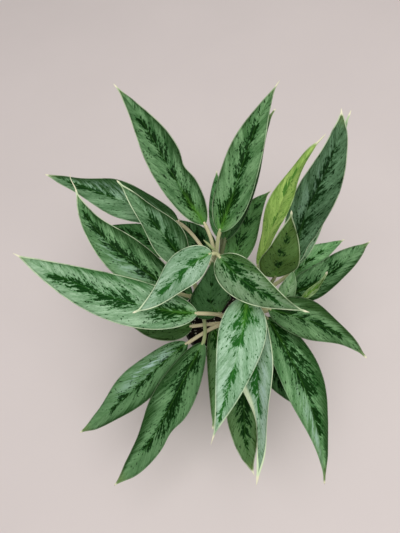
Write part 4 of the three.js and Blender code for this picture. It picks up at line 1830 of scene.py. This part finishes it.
@dataclass
class BladeMaker:
    """Makes blades: a folded, cupped and waved skin with a sunk midrib above and a rib below.

    Widths, radii, spreads and depths are millimetres, and fold is degrees. crowding draws the net's rows
    together towards the base. quilt_pitch is how many swellings there are in a metre. Shares are of the
    length or of the half-width.
    """

    rib_thickness: float = 1.9
    rib_spread: float = 1.8
    skin_thickness: float = 0.55
    stalk_width: float = 3.4
    tip_width: float = 0.7
    roundness: float = 0.6
    fold: float = 14.0
    cup: float = 0.12
    waves: float = 1.7
    far_edge_lag: float = 0.37
    notch_spread: float = 0.07
    slim_range: Pair = (0.40, 0.68)
    wave_onset: float = 0.7
    crowding: float = 1.2
    end_share: float = 1e-3
    columns: int = 40
    rows: int = 96
    crisp: float = 1.3
    groove: float = 0.55
    groove_spread: float = 1.5
    quilt: float = 0.9
    quilt_slant: float = 0.95
    quilt_pitch: Pair = (60.0, 170.0)
    mark_spread: float = 0.048
    mark_sweep: float = 1.0
    darkest: float = 1.15
    thread_radius: float = 1.2
    drawn_from: float = 0.84
    drawn_share: float = 0.4

    def __post_init__(self) -> None:
        """Weaves the tree and the finishes."""
        self.rule = BladeRule(self)
        self.skins = {look: finish.material(f"{look.value}_skin") for look, finish in BLADE_FINISHES.items()}

    def make(self, leaf: Leaf, name: str) -> bpy.types.Object:
        """One blade.

        Args:
            leaf: Its sizes.
            name: The object's name.

        Returns:
            The blade's object.
        """
        rib = leaf.midrib()
        notches = [*leaf.notches, *[(0.0, 0.0, 0.0)] * NOTCHES]
        spots = {f"Notch {i + 1}": notches[i] for i in range(NOTCHES)}
        spots |= {f"Mark {i + 1}": mark for i, mark in enumerate(leaf.blotches())}
        return self.rule.bake(name, {
            "Base": rib.start, "Near Handle": rib.near, "Far Handle": rib.far, "Tip": rib.end,
            "Facing": leaf.facing(),
            "Tune": (leaf.seed, rib.length() / MM, 0.0),
            "Shade": (leaf.left, leaf.right, leaf.tone),
            "Accent": (leaf.cast, leaf.speckle, leaf.glow),
            **spots,
            "Width": leaf.width * MM, "Taper": leaf.taper, "Wave": leaf.wave * MM, "Phase": leaf.phase,
            "Thread": leaf.thread * MM, "Slim": leaf.slim, "Margin": leaf.margin,
            "Sheen": leaf.sheen, "Sheen Place": leaf.painted_sheen_at, "Calm": leaf.calm,
            "Material": self.skins[leaf.look]})


@dataclass
class StalkMaker:
    """Makes round stalks along a curve: canes, leaf stalks with a clasping sheath, and drip tips."""

    sides: int = 20
    rows: int = 48
    scar_height: float = 0.45
    scar_spread: float = 0.8
    least_lean: float = 0.1
    finish: StalkFinish = field(default_factory=StalkFinish)
    tip_finish: StalkFinish = field(default_factory=lambda: StalkFinish(
        green="e2e3c0", beige="ebe8c8", blush="dcd9b4"))

    def __post_init__(self) -> None:
        """Weaves the tree and the finish."""
        self.rule = self.weave()
        self.skin = self.finish.material("stalk_skin")
        self.tip_skin = self.tip_finish.material("curl_skin")

    def weave(self) -> Rule:
        """The tree that rolls a net into a tube round a curve.

        Returns:
            The tree.
        """
        rule = Rule("stalk")
        points = [rule.ask(label, Vector) for label in ("Start", "Near Handle", "Far Handle", "End")]
        side, tune = rule.ask("Side", Vector), rule.ask("Tune", Vector)
        root, neck, slim = rule.ask("Root Radius"), rule.ask("Neck Radius"), rule.ask("Slim Share")
        groove, belly, ring_gap = rule.ask("Groove"), rule.ask("Belly"), rule.ask("Ring Gap")
        material = rule.ask("Material", bpy.types.Material)

        net, around, along = rule.grid(self.sides, self.rows)
        seed, length, _ = rule.split(tune)
        centre, heading = bezier(points, along)
        across = (side - heading * side.dot(heading)).normalized()
        inward = heading.cross(across)
        slimming = rule.step(along / slim, 0.0, 1.0)
        radius = rule.blend(slimming, root, neck)
        bulge = rule.math("SINE", (along * 0.75 + 0.2) * math.pi)
        radius = radius * rule.blend(belly, 1.0, bulge)
        s = along * length
        wobble = rule.noise(rule.gather(s * 0.2, seed, 0.0), 1.0, 1) - 0.5
        ring = abs(rule.math("FRACT", s / ring_gap + wobble * 0.5) - 0.5)
        scar = rule.bell(ring * ring_gap, self.scar_spread) * ring_gap.above(0.5)
        facet = rule.bell(abs(around - 0.25), 0.11)
        channel = groove * facet * (1 - slimming * 0.75)
        fibre = rule.sine(around * 9 + seed) * 0.015 + 1
        rim = radius * (1 - channel) * fibre + scar * (self.scar_height * MM) + radius * wobble * 0.1
        spoke = across * rule.sine(around + 0.25) + inward * rule.sine(around)
        bent = centre + spoke * (rim * rule.open_row(along, self.rows))
        net = rule.store(net, "place", rule.gather(around, along, radius * (1 / MM)))
        net = rule.store(net, "tune", tune)
        net = rule.store(net, "scar", scar)
        net = rule.chain(net, "GeometryNodeSetPosition", {"Position": bent})
        rule.close(net, material)
        return rule

    def make(self, name: str, curve: Curve, root: float, neck: float, slim: float = 1.0, groove: float = 0.0,
             belly: float = 0.0, ring_gap: float = 0.0, tone: float = 0.5, seed: float = 0.0,
             skin: bpy.types.Material | None = None) -> bpy.types.Object:
        """One stalk.

        Args:
            name: The object's name.
            curve: The line that it follows.
            root: Its radius at the start, in millimetres.
            neck: Its radius at the end, in millimetres.
            slim: The share of its length over which it slims.
            groove: The depth of the channel on its upper side, as a share of the radius.
            belly: 1 for a spindle that is thin at both ends, and 0 for a plain tube.
            ring_gap: The distance between leaf scars, in millimetres, or 0 for none.
            tone: 0 for beige and 1 for green.
            seed: Which of many like patterns it has.
            skin: Its material, if it isn't the stalks' own.

        Returns:
            The stalk's object.
        """
        outward = curve.end - curve.start
        outward.z = 0
        if outward.length < self.least_lean * MM:
            outward = Vector((0, 1, 0))
        return self.rule.bake(name, {
            "Start": curve.start, "Near Handle": curve.near, "Far Handle": curve.far, "End": curve.end,
            "Side": Vector((0, 0, 1)).cross(outward.normalized()),
            "Tune": (seed, curve.length() / MM, tone),
            "Root Radius": root * MM, "Neck Radius": neck * MM, "Slim Share": slim, "Groove": groove,
            "Belly": belly, "Ring Gap": ring_gap, "Material": skin or self.skin})


# ---------------------------------------------------------------- shoots


@dataclass
class Shoot:
    """A cane with its leaf stalks and the blades that they carry.

    Lengths are millimetres. foot and top name the cane's part in the soil and the one above it, gap is the
    distance between leaf scars, and lift and reach bend each stalk by shares of its length.
    """

    letter: str
    foot: Pair
    crown: Triple
    blades: BladeMaker
    stalks: StalkMaker
    foot_height: float = 66.0
    straight_top: float = 104.0
    bend_share: float = 0.4
    radius: float = 5.4
    top_radius: float = 4.2
    sheath_radius: float = 4.6
    neck_radius: float = 2.5
    sheath_share: float = 0.6
    channel: float = 0.5
    foot_gap: float = 9.0
    top_gap: float = 11.0
    foot_tone: float = 0.75
    top_tone: float = 0.7
    lift: float = 0.42
    reach: float = 0.28
    lowest_node: float = 0.02
    highest_node: float = 0.96
    toe: float = 5.0
    toe_drop: float = 1.5
    curl_from: float = 0.975
    curl_radius: float = 0.8
    curl_slim: float = 0.4
    curl_turn: Triple = (3, 9, 0)

    @property
    def leaves(self) -> list[Leaf]:
        """The leaves that this shoot carries."""
        return [leaf for leaf in LEAVES if leaf.name.startswith(self.letter)]

    def cane(self) -> Curve:
        """The curve of the cane above the soil.

        Returns:
            The curve.
        """
        start = metres((*self.foot, self.straight_top))
        crown = metres(self.crown)
        bend = Vector((start.x, start.y, start.z + (crown.z - start.z) * self.bend_share))
        return Curve(start, start.lerp(bend, 2 / 3), crown.lerp(bend, 2 / 3), crown)

    def stalk(self, leaf: Leaf, cane: Curve) -> Curve:
        """The curve of a leaf's stalk, from the cane to a little way under the blade's base.

        Args:
            leaf: The leaf.
            cane: The cane's curve.

        Returns:
            The stalk's curve.
        """
        share = (leaf.node * MM - cane.start.z) / (cane.end.z - cane.start.z)
        share = min(max(share, self.lowest_node), self.highest_node)
        rib = leaf.midrib()
        start, ahead = cane.at(share), rib.heading(0)
        end = rib.start + ahead * (self.toe * MM) - leaf.facing() * (self.toe_drop * MM)
        span = (rib.start - start).length
        return Curve(start, start + cane.heading(share) * (self.lift * span),
                     end - ahead * (self.reach * span), end)

    def build_stalks(self) -> bpy.types.Object:
        """The cane and every leaf stalk on it, which stand for the shoot's node.

        Returns:
            Them as one piece.
        """
        cane = self.cane()
        bottom = metres((*self.foot, self.foot_height))
        rise = cane.start - bottom
        root = Curve(bottom, bottom + rise / 3, bottom + rise * 2 / 3, cane.start + Vector((0, 0, 1)) * MM)
        parts = [
            self.stalks.make("cane_foot", root, self.radius, self.radius, ring_gap=self.foot_gap,
                             tone=self.foot_tone),
            self.stalks.make("cane_top", cane, self.radius, self.top_radius, ring_gap=self.top_gap,
                             tone=self.top_tone),
        ]
        for index, leaf in enumerate(self.leaves):
            parts.append(self.stalks.make(
                f"stalk_{leaf.name}", self.stalk(leaf, cane), self.sheath_radius, self.neck_radius,
                slim=self.sheath_share, groove=self.channel, tone=leaf.stalk_green, seed=index + 1))
        piece = join(f"stalks_{self.letter}", parts)
        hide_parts(f"shoot_{self.letter}")
        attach(piece, BODY)
        return piece

    def build_blade(self, leaf: Leaf) -> bpy.types.Object:
        """A blade with its drip tip, which stands for the leaf's node.

        Args:
            leaf: The leaf.

        Returns:
            The blade as one piece.
        """
        parts = [self.blades.make(leaf, f"blade_{leaf.name}")]
        if leaf.curl:
            rib = leaf.midrib()
            start, end = rib.at(self.curl_from), metres(leaf.curl)
            ahead = rib.heading(1) * (end - start).length
            line = Curve(start, start + ahead * 0.3, end - metres(self.curl_turn), end)
            parts.append(self.stalks.make(
                f"curl_{leaf.name}", line, self.curl_radius, self.curl_radius * self.curl_slim,
                skin=self.stalks.tip_skin))
        piece = join(f"blade_{leaf.name}", parts) if len(parts) > 1 else parts[0]
        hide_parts(f"leaf_{leaf.name}")
        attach(piece, BODY)
        return piece

    def build(self) -> list[bpy.types.Object]:
        """Makes the shoot."""
        return [self.build_stalks(), *(self.build_blade(leaf) for leaf in self.leaves)]


@dataclass
class Spear:
    """The youngest leaf of the middle shoot, still rolled up."""

    stalks: StalkMaker
    skin: bpy.types.Material
    base: Triple = (11, 36, 257)
    tip: Triple = (1, 46, 271)
    radius: float = 1.8

    def build(self) -> list[bpy.types.Object]:
        """Makes the rolled leaf, which stands for its node.

        Returns:
            The rolled leaf.
        """
        base, tip = metres(self.base), metres(self.tip)
        line = Curve(base, base.lerp(tip, 1 / 3), base.lerp(tip, 2 / 3), tip)
        spear = self.stalks.make("rolled_leaf", line, self.radius, self.radius, belly=1.0, tone=1.0)
        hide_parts("leaf_a_spear")
        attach(spear, BODY)
        return [spear]


# ---------------------------------------------------------------- studio


@dataclass
class Studio:
    """The camera, a plain pale floor and soft light.

    Places and the lens are millimetres and angles degrees. Other sizes are metres.
    """

    eye: Triple = (-11.3, -198.2, 684.4)
    elevation: float = 63.0
    roll: float = 15.4
    lens: float = 27.0
    sensor: float = 36.0
    nearest: float = 0.01
    floor_size: float = 8.0
    floor_colour: str = "d8cecb"
    sky_colour: str = "f1efee"
    sky_strength: float = 0.55
    lamp_place: Triple = (195, -473, 2400)
    lamp_aim: Triple = (0, 0, 150)
    lamp_size: float = 2.2
    lamp_power: float = 40.0

    def camera(self) -> bpy.types.Object:
        """The camera at the photograph's viewing angle.

        Returns:
            The camera.
        """
        data = bpy.data.cameras.new("camera")
        data.lens = self.lens
        data.sensor_width = self.sensor
        data.clip_start = self.nearest
        made = link_object("camera", data)
        tilt = Matrix.Rotation(math.radians(90 - self.elevation), 4, "X")
        turn = Matrix.Rotation(math.radians(-self.roll), 4, "Z")
        made.matrix_world = Matrix.Translation(metres(self.eye)) @ tilt @ turn
        bpy.context.scene.camera = made
        return made

    def floor(self) -> bpy.types.Object:
        """A plain pale floor under the pot.

        Returns:
            The floor.
        """
        mesh = bpy.data.meshes.new("floor")
        half = self.floor_size / 2
        corners = [(-half, -half, 0), (half, -half, 0), (half, half, 0), (-half, half, 0)]
        mesh.from_pydata(corners, [], [(0, 1, 2, 3)])
        skin = Skin("pale_floor")
        cloud = skin.noise(skin.place(), 3.0, 4)
        colour = skin.shade(self.floor_colour, (cloud - 0.5) * 0.10 + 1.0)
        mesh.materials.append(skin.finish(colour, 0.62, cloud, 0.1 * MM, Specular_IOR_Level=0.3))
        made = link_object("floor", mesh)
        return made

    def light(self) -> None:
        """A large soft lamp overhead, and pale light from all round."""
        world = bpy.data.worlds.new("pale_room")
        bpy.context.scene.world = world
        world.use_nodes = True
        back = world.node_tree.nodes["Background"]
        back.inputs["Color"].default_value = paint(self.sky_colour)
        back.inputs["Strength"].default_value = self.sky_strength
        data = bpy.data.lights.new("ceiling_lamp", "AREA")
        data.shape = "SQUARE"
        data.size = self.lamp_size
        data.energy = self.lamp_power
        lamp = link_object("ceiling_lamp", data)
        lamp.location = metres(self.lamp_place)
        aim = metres(self.lamp_aim) - lamp.location
        lamp.rotation_mode = "QUATERNION"
        lamp.rotation_quaternion = aim.to_track_quat("-Z", "Y")

    def build(self) -> None:
        """Makes all of it."""
        self.camera()
        self.floor()
        self.light()
        bpy.context.scene.view_settings.view_transform = "Standard"


CANES = {
    "a": ((6, 26), (11, 38, 226)),
    "b": ((36, 6), (68, 4, 168)),
    "c": ((24, -24), (43, -27, 186)),
    "d": ((-2, -22), (5, -18, 150)),
    "e": ((-26, 14), (-24, 26, 168)),
}


def main() -> None:
    """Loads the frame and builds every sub-assembly in order."""
    logging.basicConfig(level=logging.INFO, format="%(name)s: %(message)s", stream=sys.stdout)
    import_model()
    Studio().build()
    pot = Pot()
    blades, stalks = BladeMaker(), StalkMaker()
    assemblies = [pot, Soil(pot)]
    for letter, (foot, crown) in CANES.items():
        assemblies.append(Shoot(letter, foot, crown, blades, stalks))
    assemblies.append(Spear(stalks, blades.skins[Look.YOUNG]))
    for assembly in assemblies:
        for piece in assembly.build():
            LOG.info("%s: %d faces", piece.name, len(piece.data.polygons))


if __name__ == "__main__":
    main()
